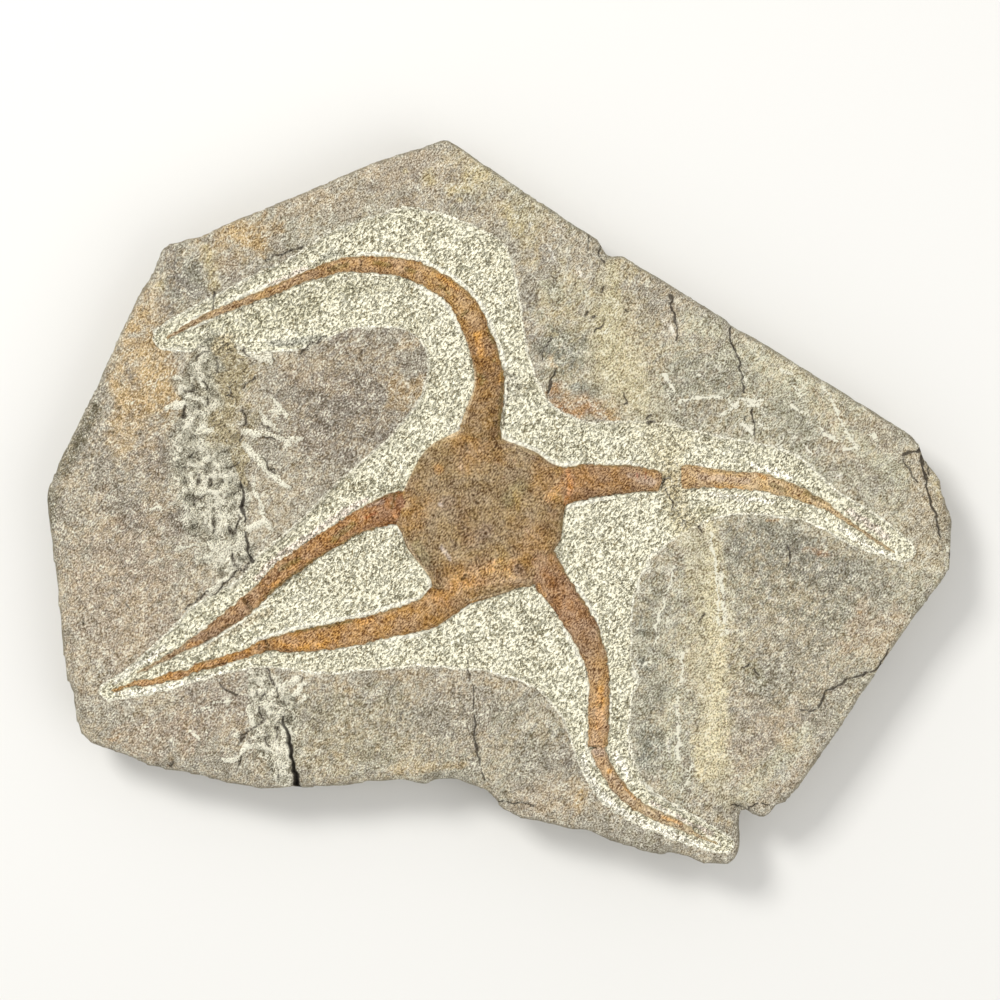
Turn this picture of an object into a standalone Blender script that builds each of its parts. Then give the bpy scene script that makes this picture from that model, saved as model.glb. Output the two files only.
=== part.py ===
"""A fossil brittle star on its slab of sandstone: a disc, five long arms and the stone that holds them.

The slab lies flat, +Z up, with the star on its upper face. X runs along its longest side. The origin
is under the middle of the slab, on the surface it rests on. Plan points are in millimetres, and one
scale turns everything to metres when the meshes are made.
"""
import math
import random

import bmesh
import bpy
from mathutils import Vector, noise
from mathutils.geometry import delaunay_2d_cdt

MM = 0.001

# ---- driving dimensions, in millimetres ----
THICKNESS = 24.0          # slab, from the surface it rests on to its upper face
RECESS_DEPTH = 2.0        # ground away round the star
SCARP_WIDTH = 2.2         # slope from the upper face down to the recess floor
GAP = 0.3                 # between pieces that touch
DISC_HEIGHT = 3.2         # of the disc's dome above the recess floor
DISC_SHOULDER = 6.0       # width of the disc's rounded rim
RIM_HEIGHT = 0.45         # of the disc's sharp lower edge
ARM_HEIGHT_RATIO = 0.52   # height of an arm to its half width
SEGMENT_LENGTH = 2.4      # along an arm, one swollen segment and the next narrow one
SEGMENT_SWELL = 0.035     # how much wider and higher the swollen ones are
OUTLINE_STEP = 5.0        # between points along the slab's outline
RECESS_STEP = 5.0         # between points along the recess
FIELD_STEP = 7.4          # between loose points on the upper face
ROUGH_STEP = 3.4          # between loose points where the slab was smashed and mended
CLEARANCE = 2.0           # least distance from a loose point to a drawn line
LEAST_APART = 1.2         # between the points that hold the shape of an edge
CRACK_STEP = 4.0          # between points along a crack
DISC_STEP = 3.0           # between points along the disc's rim
DISC_FIELD = (4.8, 4.2)   # between loose points on the disc, along X and along Y

FLOOR = THICKNESS - RECESS_DEPTH
STAR_BASE = FLOOR + GAP

# The slow swells of the upper face and the pits of the recess floor: size across, height and seed.
SWELLS = [(70, 0.55, 3.1), (17, 0.3, 8.4)]
FLOOR_PITS = (9, 0.12, 1.7)
DISC_SWELL = (11, 0.12, 6.0)

# The slab's outline, clockwise from above. Each stretch has how far its upper edge falls, how wide
# that fall is and how rough the side below it is.
WORN = (3.2, 5.0, 1.1)
SAWN = (1.3, 2.0, 0.4)
BROKEN = (3.4, 4.2, 1.6)
LEFT_END = [
    (-141, -62.5), (-143, -58.5), (-144, -52), (-146.5, -25.5), (-150, 1), (-149.5, 5),
    (-142.5, 20.5), (-135.5, 33.5), (-120, 67.5), (-115, 75.5), (-112, 83.5),
]
TOP_LEFT_SIDE = [
    (-112, 83.5), (-109, 85.5), (-97.5, 88.5), (-90.5, 92), (-65.5, 102), (-41, 112.5), (-17.5, 120),
]
TOP_RIGHT_SIDE = [
    (-17.5, 120), (-13, 117.5), (3.5, 106), (33, 86.5), (36, 81), (39, 82), (41, 81.5), (75, 60.5),
    (76.5, 58.5), (86, 53.5), (132, 25), (137, 21.5), (139, 19),
]
RIGHT_END = [
    (139, 19), (140.5, 14.5), (145.5, 8.5), (146.5, 4), (148.5, -2), (150, -5), (149.5, -21.5),
    (148.5, -23),
]
LOWER_RIGHT_SIDE = [(148.5, -23), (132, -45), (113, -74), (98.5, -94.5), (94.5, -99.5)]
BOTTOM_SIDE = [
    (94.5, -99.5), (92, -100), (89, -104), (86.5, -104.5), (79.5, -101), (80, -113.5), (79, -117),
    (75.5, -120), (67, -119.5), (64, -118), (56.5, -116), (53.5, -117), (46.5, -115.5),
    (35.5, -111.5), (29.5, -108.5), (23.5, -108.5), (15, -106), (8, -105), (4.5, -104),
    (0.5, -102), (-1, -99), (-4, -95.5), (-16, -91.5), (-20.5, -92), (-24.5, -93.5),
    (-34, -92), (-52.5, -94), (-65.5, -94.5), (-67, -93), (-68.5, -94.5), (-78.5, -95),
    (-92, -92.5), (-98.5, -90.5), (-115, -87.5), (-121.5, -84.5), (-135, -80), (-138.5, -76.5),
    (-140, -73), (-141, -67.5), (-141, -62.5),
]
OUTLINE = [
    (LEFT_END, WORN), (TOP_LEFT_SIDE, SAWN), (TOP_RIGHT_SIDE, SAWN), (RIGHT_END, BROKEN),
    (LOWER_RIGHT_SIDE, SAWN), (BOTTOM_SIDE, BROKEN),
]

# The recess round the star, one closed curve, clockwise from the top arm's tip.
RECESS = [
    (-114, 53.5), (-113.5, 56.5), (-110, 59.5), (-94.5, 68), (-86, 72), (-79, 76),
    (-67.5, 81.5), (-58, 88), (-53, 90.5), (-43.5, 94), (-37.5, 95.5), (-31.5, 97.5),
    (-19.5, 95.5), (-11, 92.5), (-4.5, 89.5), (1.5, 85.5), (4, 80.5), (7, 66.5), (10, 48),
    (15.5, 34.5), (19, 31), (24, 28.5), (30.5, 26.5), (40.5, 27), (49.5, 27), (62, 25), (68, 23),
    (86, 19.5), (98.5, 15.5), (106, 9), (113, 3), (125.5, -4.5), (132, -9.5), (136, -13.5),
    (137.5, -16.5), (136, -19), (133, -20), (122, -16.5), (115.5, -14), (105.5, -8.5), (99, -6),
    (83, -4), (75.5, -4.5), (69.5, -6), (63.5, -9), (57, -13), (51.5, -17.5), (48, -22.5),
    (45.5, -27), (44.5, -32), (44, -38), (44, -52), (46.5, -59), (44.5, -62.5), (43.5, -69),
    (43, -76.5), (44, -82), (46, -88), (49, -93.5), (53.5, -97), (59.5, -100), (66, -104),
    (77, -110.5), (78, -113.5), (76.5, -115.5), (72, -115.5), (58, -111.5), (51.5, -108.5),
    (45, -106), (35, -100), (28.5, -91.5), (23.5, -79), (21.5, -73), (18, -67.5), (14.5, -63.5),
    (9.5, -60), (-3, -56), (-14, -55), (-26.5, -54), (-35, -55), (-45, -55.5), (-54.5, -56.5),
    (-64, -56), (-76.5, -54.5), (-85, -55.5), (-93, -57), (-102.5, -60), (-112, -62.5),
    (-122, -64.5), (-129.5, -65), (-132, -63.5), (-131.5, -60.5), (-126, -57), (-119, -51.5),
    (-106.5, -40), (-101, -34), (-93, -29), (-85, -24), (-80.5, -18), (-73.5, -12.5), (-66, -6),
    (-59, 1), (-52.5, 7.5), (-44, 15), (-37, 21), (-28, 31.5), (-24.5, 38.5), (-23.5, 45),
    (-24.5, 51), (-28.5, 55.5), (-35, 57.5), (-43.5, 57.5), (-50.5, 56.5), (-64.5, 50.5),
    (-73.5, 49.5), (-81, 49), (-88.5, 50), (-95, 50), (-102.5, 49.5), (-109, 50), (-112.5, 51),
]

# The disc's outline, clockwise, in five free stretches. Between one stretch and the next runs the
# straight joint with an arm.
DISC_STRETCHES = [
    [(0.5, 21.5), (4.5, 20.5), (9, 19), (13.5, 17.5), (18, 14), (22, 12)],
    [(22.5, 0), (21.5, -3), (21, -8), (20.5, -12)],
    [(10.5, -28), (7, -28), (2, -30), (-4.5, -32), (-10, -33.5)],
    [(-22, -28.5), (-22.5, -25.5), (-26.5, -20), (-30.5, -15), (-32, -10.5), (-34, -7)],
    [(-33.5, 2), (-31.5, 4), (-29.5, 8.5), (-27.5, 12.5), (-24.5, 17), (-21, 20), (-17, 22),
     (-12.5, 24)],
]

# Each arm's centre line from the disc to its tip: x, y and half width.
ARMS = {
    "arm_top": [
        (-5.5, 24.5, 6.4), (-5, 29, 6.2), (-4.5, 33.5, 5.6), (-3.5, 40.5, 5.1), (-4, 47, 4.7),
        (-5.5, 53.5, 4.4), (-8, 60, 4.2), (-11, 65.5, 4.0), (-14.5, 69.5, 3.9), (-19, 73.5, 3.8),
        (-24.5, 76, 3.6), (-31, 78, 3.5), (-37.5, 78.5, 3.2), (-44, 78.5, 2.8), (-50.5, 77.5, 2.6),
        (-64, 73.5, 2.4), (-77, 68.5, 2.1), (-83.5, 66, 1.8), (-96.5, 61, 1.2), (-101.5, 58.5, 0.9),
        (-105.5, 56.5, 0.7), (-110, 54, 0.4),
    ],
    "arm_upper_left": [
        (-34.5, -2.8, 4.8), (-37.5, -3.5, 4.7), (-42.5, -5.5, 4.5), (-49, -8.5, 4.2),
        (-55.5, -12, 3.9), (-62, -16.5, 3.8), (-69, -21, 3.6), (-73.5, -25, 3.4),
        (-78.5, -29.5, 3.2), (-87, -37, 3.0), (-92, -40.5, 2.8), (-96.5, -43.5, 2.4),
        (-101.5, -46.5, 2.0), (-106.5, -49.5, 1.5), (-111.5, -52.5, 1.1), (-115.5, -55, 0.7),
        (-119, -56.5, 0.4),
    ],
    "arm_lower_left": [
        (-16.5, -31.5, 5.9), (-20.5, -34, 5.8), (-26, -36.5, 5.4), (-32.5, -38, 4.9),
        (-39, -40, 4.6), (-45.5, -42, 4.5), (-52.5, -43.5, 4.4), (-59, -44.5, 4.2),
        (-65.5, -45.5, 3.9), (-70.5, -46, 3.4), (-73.5, -46.5, 2.8), (-76.5, -48, 2.7),
        (-82, -49.5, 2.2), (-92, -53, 2.0), (-101.5, -55.5, 1.6), (-111.5, -58.5, 1.5),
        (-116.5, -59.5, 1.3), (-120, -60.5, 0.9), (-124, -61.5, 0.8), (-127.5, -62, 0.4),
    ],
    "arm_lower_right": [
        (16, -20.5, 6.9), (19.5, -26.5, 6.2), (22.5, -31.5, 5.7), (25.5, -36, 5.3),
        (28.5, -41, 4.9), (30.5, -46, 4.5), (31.5, -50, 4.2), (32.5, -55, 3.8), (33, -65, 3.7),
        (33, -70, 3.6), (33, -75.5, 3.5), (32.7, -80.3, 3.3),
    ],
    "arm_lower_right_tip": [
        (31.5, -81.9, 2.4), (33, -85.5, 2.4), (35, -89.5, 2.3), (38, -93.5, 2.3), (41, -96, 2.2),
        (44.5, -99, 2.0), (52, -103, 1.6), (59.5, -106.5, 1.3), (63, -108.5, 1.1),
        (67.5, -110.5, 0.7), (72, -112.5, 0.4),
    ],
    "arm_right_inner": [
        (22.5, 6, 5.9), (26, 6.5, 5.7), (30.5, 6.5, 5.6), (35, 7, 5.1), (40, 7.5, 4.8),
        (46.5, 7.5, 4.2), (51.5, 7, 3.6),
    ],
    "arm_right_outer": [
        (61.5, 8.5, 3.8), (66, 8.5, 3.7), (72.5, 8, 3.5), (79.5, 7, 3.2), (86, 6, 3.2),
        (91, 5, 3.0), (95.5, 4, 2.8), (100.5, 2, 2.4), (105.5, 0, 1.9), (109, -2, 1.4),
        (112, -4, 1.1), (117, -7, 0.9), (127, -14, 0.7), (130.5, -16.5, 0.4),
    ],
}
# The joint that each arm leaves from: which stretch of the disc ends at it.
JOINT_AFTER = {"arm_right_inner": 0, "arm_lower_right": 1, "arm_lower_left": 2, "arm_upper_left": 3,
               "arm_top": 4}

# Cracks in the upper face: points, width and depth at the deep end, which comes last.
CRACKS = [
    ([(-71.5, -71), (-69.5, -76.5), (-68.5, -81.5), (-68, -86.5), (-67, -93)], 1.6, 7.0),
    ([(-85, 9), (-84, 1), (-84.5, -5), (-83.5, -11.5), (-82.7, -17)], 1.6, 1.6),
    ([(19, 44), (17.5, 40.5), (16, 36.5)], 1.4, 0.9),
    ([(138.5, 15.5), (141, 4), (143.5, -4), (145, -12.5)], 1.4, 1.4),
    ([(99, -68.5), (103, -68.5), (105.5, -66), (111.5, -60.5), (122, -56), (128.5, -48.5)], 1.2, 1.2),
    ([(80.5, 36), (79.5, 42), (77.5, 50), (76.2, 57.3)], 1.2, 1.2),
]

# The left break, where the slab was smashed and mended: x, y and half width along its middle.
SMASHED = [(-92, 47, 9), (-94, 38, 13), (-96, 25, 15), (-95, 10, 14), (-92, -5, 13), (-90, -18, 8)]
SMASHED_LUMPS = [(7.5, 1.5, 5.5), (15, 0.9, 2.2)]
SMASHED_DEPTH = 0.4
# The right break, filled and rubbed down to a shallow trough.
MENDED = [
    (36.5, 79, 3.5), (35, 70, 6.5), (34.5, 57, 11), (38, 43.5, 13), (46.5, 32, 11), (59, -9, 8),
    (68, -30, 6), (70, -60, 7), (70.5, -80, 8), (76, -100, 4),
]
MENDED_DEPTH = 0.7

# Scoops broken out of the upper face: x, y, radius and depth.
CHIPS = [
    (4, -102, 8, 3.2), (36, 83, 5.5, 2.4), (78, -104, 6, 2.6), (147, -9, 6, 2.2), (141, 9, 4.5, 1.8),
    (-17, -92, 6, 1.6), (-139, -73, 7, 1.8), (-113, 81, 5, 1.6), (55, -117, 6, 1.8),
    (-147, 12, 8, 1.8), (76, 60, 4, 1.2), (62, -9, 5, 0.8),
]

# The rings down the slab's sides: share of its thickness and how far in, for a roughness of 1 mm.
# The broken sides step in and out with the stone's bedding.
SIDE_LEVELS = [(0.72, 0.3), (0.47, 1.3), (0.22, 0.6), (0.0, 1.7)]
LEVEL_WANDER = 1.1        # how far a ring rises and falls
SIDE_DRAFT = 0.2          # least distance of a ring behind the outline

# An arm's section: how far out as a share of its half width, how high as a share of its height.
ARM_PROFILE = [(-1.0, 0.0), (-0.82, 0.58), (0.0, 1.0), (0.82, 0.58), (1.0, 0.0)]


# ---- plan geometry, in millimetres ----
def along(points, step, closed):
    """Points a step apart on a smooth curve through the given ones. Extra values are carried along."""
    count = len(points)
    spans = count if closed else count - 1
    found = []
    for i in range(spans):
        if closed:
            quad = [points[(i + k) % count] for k in (-1, 0, 1, 2)]
        else:
            quad = [points[min(max(i + k, 0), count - 1)] for k in (-1, 0, 1, 2)]
        parts = max(1, round(math.dist(quad[1][:2], quad[2][:2]) / step))
        for part in range(parts):
            t = part / parts
            found.append(tuple(
                0.5 * (2 * b + (c - a) * t + (2 * a - 5 * b + 4 * c - d) * t * t
                       + (3 * b - a - 3 * c + d) * t ** 3)
                for a, b, c, d in zip(*quad)))
    if not closed:
        found.append(tuple(float(value) for value in points[-1]))
    return found


def straight(points, step):
    """Points a step apart on straight runs between the given ones, without the last."""
    found = []
    for a, b in zip(points, points[1:]):
        parts = max(1, round(math.dist(a, b) / step))
        for part in range(parts):
            t = part / parts
            found.append((a[0] + (b[0] - a[0]) * t, a[1] + (b[1] - a[1]) * t))
    return found


def nearest(point, line, closed=False):
    """Distance to a line, the index of its nearest run and how far along that run."""
    px, py = point[0], point[1]
    best = (1e9, 0, 0.0)
    runs = len(line) if closed else len(line) - 1
    for i in range(runs):
        ax, ay = line[i][0], line[i][1]
        bx, by = line[(i + 1) % len(line)][0], line[(i + 1) % len(line)][1]
        length = (bx - ax) ** 2 + (by - ay) ** 2
        t = 0.0 if length == 0 else ((px - ax) * (bx - ax) + (py - ay) * (by - ay)) / length
        t = min(max(t, 0.0), 1.0)
        away = math.hypot(px - ax - t * (bx - ax), py - ay - t * (by - ay))
        if away < best[0]:
            best = (away, i, t)
    return best


def inside(point, ring):
    """Whether a point lies within a closed ring."""
    px, py = point[0], point[1]
    within = False
    for a, b in zip(ring, ring[1:] + ring[:1]):
        if (a[1] > py) != (b[1] > py) and px < (b[0] - a[0]) * (py - a[1]) / (b[1] - a[1]) + a[0]:
            within = not within
    return within


def inward(ring, reach):
    """Unit vectors into a clockwise ring, each evened out over its neighbours up to reach away."""
    count = len(ring)
    found = []
    for i in range(count):
        a, b = ring[(i - reach) % count], ring[(i + reach) % count]
        across = Vector((b[1] - a[1], a[0] - b[0]))
        found.append(across.normalized())
    return found


def smooth(value):
    """An even step from 0 to 1."""
    value = min(max(value, 0.0), 1.0)
    return value * value * (3 - 2 * value)


def bumps(x, y, layer):
    """Even noise in a layer of lumps, which has a size across, a height and a seed."""
    size, high, seed = layer
    return high * noise.noise(Vector((x / size, y / size, seed)))


# ---- the slab ----
def slab_outline():
    """The outline's points and, for each, its edge's fall, width and roughness."""
    ring = []
    edges = []
    for points, edge in OUTLINE:
        run = straight(points, OUTLINE_STEP)
        ring += run
        edges += [edge] * len(run)
    return ring, edges


def band(point, line):
    """1 in the middle of a band that has a half width at each of its points, 0 outside it."""
    away, i, t = nearest(point, line)
    half = line[i][2] + (line[i + 1][2] - line[i][2]) * t
    return smooth(1.25 - away / half)


def stone_face(x, y):
    """Height of the slab's upper face where nothing was ground away and no edge falls."""
    height = THICKNESS + sum(bumps(x, y, layer) for layer in SWELLS)
    smashed = band((x, y), SMASHED)
    if smashed > 0:
        height += smashed * (sum(bumps(x, y, layer) for layer in SMASHED_LUMPS) - SMASHED_DEPTH)
    height -= MENDED_DEPTH * band((x, y), MENDED)
    for chip_x, chip_y, radius, depth in CHIPS:
        share = math.hypot(x - chip_x, y - chip_y) / radius
        if share < 1:
            height -= depth * (1 - share * share)
    return height


class Slab:
    """The lines drawn on the slab's upper face and the height of that face."""

    def __init__(self):
        self.ring, self.edges = slab_outline()
        self.recess = along(RECESS, RECESS_STEP, True)
        seeded = random.Random(11)
        self.wear = [seeded.uniform(0.65, 1.15) for _ in self.ring]

    def height(self, x, y, on_edge):
        """Height of the upper face with its worn edge and the recess in it."""
        point = (x, y)
        away, i, t = nearest(point, self.ring, True)
        if on_edge:
            away = 0.0
        fall, width, _ = self.edges[i]
        wear = self.wear[i] + (self.wear[(i + 1) % len(self.ring)] - self.wear[i]) * t
        top = stone_face(x, y)
        if away < width:
            top -= fall * wear * (1 - away / width) ** 2
        if not inside(point, self.recess):
            return top
        depth = nearest(point, self.recess, True)[0]
        floor = FLOOR - FLOOR_PITS[1] - bumps(x, y, FLOOR_PITS)
        return min(top, top + (floor - top) * smooth(depth / SCARP_WIDTH))


def clear_of(point, lines, limit):
    """Whether a point keeps its distance from every line. Lines are (points, closed)."""
    return all(nearest(point, line, closed)[0] >= limit for line, closed in lines)


def crack_rows():
    """Each crack's middle and its two lips, as rows of points with how deep each lies."""
    rows = []
    for points, width, depth in CRACKS:
        line = along(points, CRACK_STEP, False)
        count = len(line)
        middle, left, right = [], [], []
        for i in range(1, count):
            a, b = line[i - 1], line[min(i + 1, count - 1)]
            across = Vector((b[1] - a[1], a[0] - b[0])).normalized()
            share = i / (count - 1)
            half = 0.5 * width * (0.45 + 0.55 * share)
            x, y = line[i]
            middle.append((x, y, depth * share))
            left.append((x + across.x * half, y + across.y * half, 0.0))
            right.append((x - across.x * half, y - across.y * half, 0.0))
        rows.append([(line[0][0], line[0][1], 0.0)] + middle)
        rows.append(left)
        rows.append(right)
    return rows


def field_points(slab, lines):
    """Loose points on the upper face, closer together where the stone was smashed."""
    seeded = random.Random(4)
    low = [min(point[k] for point in slab.ring) for k in (0, 1)]
    high = [max(point[k] for point in slab.ring) for k in (0, 1)]
    found = []
    rough = []
    for step, kept in ((ROUGH_STEP, rough), (FIELD_STEP, found)):
        row = 0
        y = low[1]
        while y < high[1]:
            x = low[0] + (0.5 * step if row % 2 else 0.0)
            while x < high[0]:
                point = (x + seeded.uniform(-0.2, 0.2) * step, y + seeded.uniform(-0.2, 0.2) * step)
                smashed = band(point, SMASHED) > 0.05
                if smashed == (kept is rough) and inside(point, slab.ring):
                    if clear_of(point, lines, CLEARANCE):
                        kept.append(point)
                x += step
            y += step * 0.87
            row += 1
    return rough + found


def slab_mesh():
    """The whole slab: its upper face, its rough sides and its flat underside."""
    slab = Slab()
    count = len(slab.ring)
    facing = inward(slab.ring, 2)
    rows = crack_rows()
    lines = [(slab.ring, True), (slab.recess, True)]
    lines += [([point[:2] for point in row], False) for row in rows if len(row) > 1]

    points = list(slab.ring)
    runs = [(i, (i + 1) % count) for i in range(count)]
    depths = [0.0] * count
    start = len(points)
    points += slab.recess
    runs += [(start + i, start + (i + 1) % len(slab.recess)) for i in range(len(slab.recess))]
    depths += [0.0] * len(slab.recess)
    for row in rows:
        start = len(points)
        points += [point[:2] for point in row]
        depths += [point[2] for point in row]
        runs += [(start + i, start + i + 1) for i in range(len(row) - 1)]

    loose = []
    for i, point in enumerate(slab.ring):
        width = slab.edges[i][1]
        loose.append((point[0] + facing[i].x * width, point[1] + facing[i].y * width))
    into = inward(slab.recess, 1)
    for i, point in enumerate(slab.recess):
        loose.append((point[0] + into[i].x * SCARP_WIDTH, point[1] + into[i].y * SCARP_WIDTH))
    kept = []
    for point in loose:
        if not inside(point, slab.ring):
            continue
        apart = all(math.dist(point, other) > LEAST_APART for other in kept)
        if apart and clear_of(point, lines, 0.9 * SAWN[1]):
            kept.append(point)
    far = [point for point in field_points(slab, lines)
           if all(math.dist(point, other) > CLEARANCE for other in kept)]
    points += kept + far
    depths += [0.0] * (len(kept) + len(far))

    plan, _, faces, origins, _, _ = delaunay_2d_cdt([Vector(p) for p in points], runs, [], 1, 1e-4)
    mesh = bmesh.new()
    upper = []
    for position, origin in zip(plan, origins):
        on_edge = any(index < count for index in origin)
        z = slab.height(position.x, position.y, on_edge)
        z -= max([depths[index] for index in origin], default=0.0)
        upper.append(mesh.verts.new((position.x, position.y, z)))
    for face in faces:
        mesh.faces.new([upper[index] for index in face])

    ring = [None] * count
    for vertex, origin in zip(upper, origins):
        for index in origin:
            if index < count:
                ring[index] = vertex
    seeded = random.Random(23)
    for share, set_in in SIDE_LEVELS:
        lower = []
        for i in range(count):
            back = SIDE_DRAFT + slab.edges[i][2] * (set_in + seeded.uniform(0.0, 0.9))
            x = slab.ring[i][0] + facing[i].x * back
            y = slab.ring[i][1] + facing[i].y * back
            wander = seeded.uniform(-LEVEL_WANDER, LEVEL_WANDER) if share > 0 else 0.0
            lower.append(mesh.verts.new((x, y, share * THICKNESS + wander)))
        for i in range(count):
            j = (i + 1) % count
            mesh.faces.new((ring[i], ring[j], lower[j]))
            mesh.faces.new((ring[i], lower[j], lower[i]))
        ring = lower
    base = [vertex.co.xy for vertex in ring]
    _, _, faces, origins, _, _ = delaunay_2d_cdt(
        base, [(i, (i + 1) % count) for i in range(count)], [], 1, 1e-4)
    for face in faces:
        mesh.faces.new([ring[origins[index][0]] for index in face])
    bmesh.ops.recalc_face_normals(mesh, faces=mesh.faces)
    return mesh


# ---- the star ----
def joint_ends(name):
    """The two corners of the straight joint between the disc and an arm, clockwise."""
    before = JOINT_AFTER[name]
    after = (before + 1) % len(DISC_STRETCHES)
    return Vector(DISC_STRETCHES[before][-1]), Vector(DISC_STRETCHES[after][0])


def joint_section(name, toward):
    """The middle of an arm's joint with the disc, half the joint and the way out of the disc."""
    first, second = joint_ends(name)
    side = (second - first) * 0.5
    out = Vector((-side.y, side.x)).normalized()
    middle = (first + second) * 0.5
    if out.dot(toward - middle) < 0:
        out = -out
    return middle + out * 1.3 * GAP, side, out


def arm_mesh(name):
    """An arm as a low rounded ridge that tapers to its tip, its segments swelling in turn."""
    line = along(ARMS[name], SEGMENT_LENGTH, False)
    mesh = bmesh.new()
    sections = []
    joint = joint_section(name, Vector(line[4][:2])) if name in JOINT_AFTER else None
    for i, (x, y, half) in enumerate(line):
        a, b = line[max(i - 1, 0)], line[min(i + 1, len(line) - 1)]
        swell = 1 + SEGMENT_SWELL * (1 if i % 2 else -1)
        middle = Vector((x, y))
        side = Vector((b[1] - a[1], a[0] - b[0])).normalized() * half * swell
        high = half * ARM_HEIGHT_RATIO * swell
        if joint:
            start, half_joint, out = joint
            if i == 0:
                middle, high = start, DISC_HEIGHT
                side = half_joint if half_joint.dot(side) > 0 else -half_joint
            elif min((middle + side - start).dot(out), (middle - side - start).dot(out)) < 1.0:
                continue
        section = []
        for across, up in ARM_PROFILE:
            spot = middle + side * across
            section.append(mesh.verts.new((spot.x, spot.y, STAR_BASE + high * up)))
        sections.append(section)
    for one, two in zip(sections, sections[1:]):
        for k in range(len(ARM_PROFILE)):
            n = (k + 1) % len(ARM_PROFILE)
            mesh.faces.new((one[k], one[n], two[n], two[k]))
    mesh.faces.new(sections[0])
    mesh.faces.new(list(reversed(sections[-1])))
    bmesh.ops.recalc_face_normals(mesh, faces=mesh.faces)
    return mesh


def disc_mesh():
    """The disc as a low dome with a rounded rim, as high at each joint as the arm that meets it."""
    ring = []
    high = []
    for k, stretch in enumerate(DISC_STRETCHES):
        free = along(stretch, DISC_STEP, False)
        ring += [point[:2] for point in free]
        high += [RIM_HEIGHT] * len(free)
        first = Vector(stretch[-1])
        second = Vector(DISC_STRETCHES[(k + 1) % len(DISC_STRETCHES)][0])
        for out, up in ARM_PROFILE[1:-1]:
            spot = first + (second - first) * (0.5 + 0.5 * out)
            ring.append((spot.x, spot.y))
            high.append(max(RIM_HEIGHT, DISC_HEIGHT * up))
    count = len(ring)
    free_lines = [along(stretch, DISC_STEP, False) for stretch in DISC_STRETCHES]
    points = list(ring)
    facing = inward(ring, 1)
    for share in (0.25, 0.75):
        for i in range(count):
            away = share * DISC_SHOULDER
            spot = (ring[i][0] + facing[i].x * away, ring[i][1] + facing[i].y * away)
            if inside(spot, ring) and clear_of(spot, [(ring, True)], 0.7 * away):
                if all(math.dist(spot, other) > LEAST_APART for other in points):
                    points.append(spot)
    low = [min(point[k] for point in ring) for k in (0, 1)]
    high_end = [max(point[k] for point in ring) for k in (0, 1)]
    y = low[1]
    row = 0
    while y < high_end[1]:
        x = low[0] + (0.5 * DISC_FIELD[0] if row % 2 else 0.0)
        while x < high_end[0]:
            if inside((x, y), ring) and clear_of((x, y), [(ring, True)], 0.8 * DISC_SHOULDER):
                points.append((x, y))
            x += DISC_FIELD[0]
        y += DISC_FIELD[1]
        row += 1
    runs = [(i, (i + 1) % count) for i in range(count)]
    plan, _, faces, origins, _, _ = delaunay_2d_cdt([Vector(p) for p in points], runs, [], 1, 1e-4)
    mesh = bmesh.new()
    upper = []
    edge = [None] * count
    for position, origin in zip(plan, origins):
        away = min(nearest(position, line)[0] for line in free_lines)
        part = min(away / DISC_SHOULDER, 1.0)
        z = RIM_HEIGHT + (DISC_HEIGHT - RIM_HEIGHT) * math.sqrt(1 - (1 - part) ** 2)
        z += bumps(position.x, position.y, DISC_SWELL) * part
        at_edge = [index for index in origin if index < count]
        if at_edge:
            z = high[at_edge[0]]
        vertex = mesh.verts.new((position.x, position.y, STAR_BASE + z))
        upper.append(vertex)
        if at_edge:
            edge[at_edge[0]] = vertex
    for face in faces:
        mesh.faces.new([upper[index] for index in face])
    lower = [mesh.verts.new((x, y, STAR_BASE)) for x, y in ring]
    for i in range(count):
        j = (i + 1) % count
        mesh.faces.new((edge[i], edge[j], lower[j], lower[i]))
    mesh.faces.new(lower)
    bmesh.ops.recalc_face_normals(mesh, faces=mesh.faces)
    return mesh


# ---- objects ----
def finish(name, color, roughness):
    """A plain material with a name, a colour and a roughness."""
    material = bpy.data.materials.new(name)
    material.use_nodes = True
    shader = material.node_tree.nodes["Principled BSDF"]
    shader.inputs["Base Color"].default_value = (*color, 1.0)
    shader.inputs["Roughness"].default_value = roughness
    shader.inputs["Metallic"].default_value = 0.0
    return material


def place(name, mesh, color, roughness):
    """Turns a mesh in millimetres into a named object in metres with a material of its own."""
    bmesh.ops.scale(mesh, vec=(MM, MM, MM), verts=mesh.verts)
    bmesh.ops.triangulate(mesh, faces=mesh.faces)
    data = bpy.data.meshes.new(name)
    mesh.to_mesh(data)
    mesh.free()
    data.materials.append(finish(name + "_stone", color, roughness))
    thing = bpy.data.objects.new(name, data)
    bpy.context.scene.collection.objects.link(thing)
    return thing


SLAB_COLOR = (0.42, 0.37, 0.27)
STAR_COLOR = (0.36, 0.22, 0.1)


def build():
    for thing in list(bpy.data.objects):
        bpy.data.objects.remove(thing)
    place("matrix_slab", slab_mesh(), SLAB_COLOR, 0.9)
    place("central_disc", disc_mesh(), STAR_COLOR, 0.8)
    for name in ARMS:
        place(name, arm_mesh(name), STAR_COLOR, 0.8)


build()
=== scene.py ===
"""Dresses a fossil brittle star and its slab of sandstone, with a floor, light and a camera."""
import math

import bpy
import numpy as np
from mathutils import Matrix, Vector, noise


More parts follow.
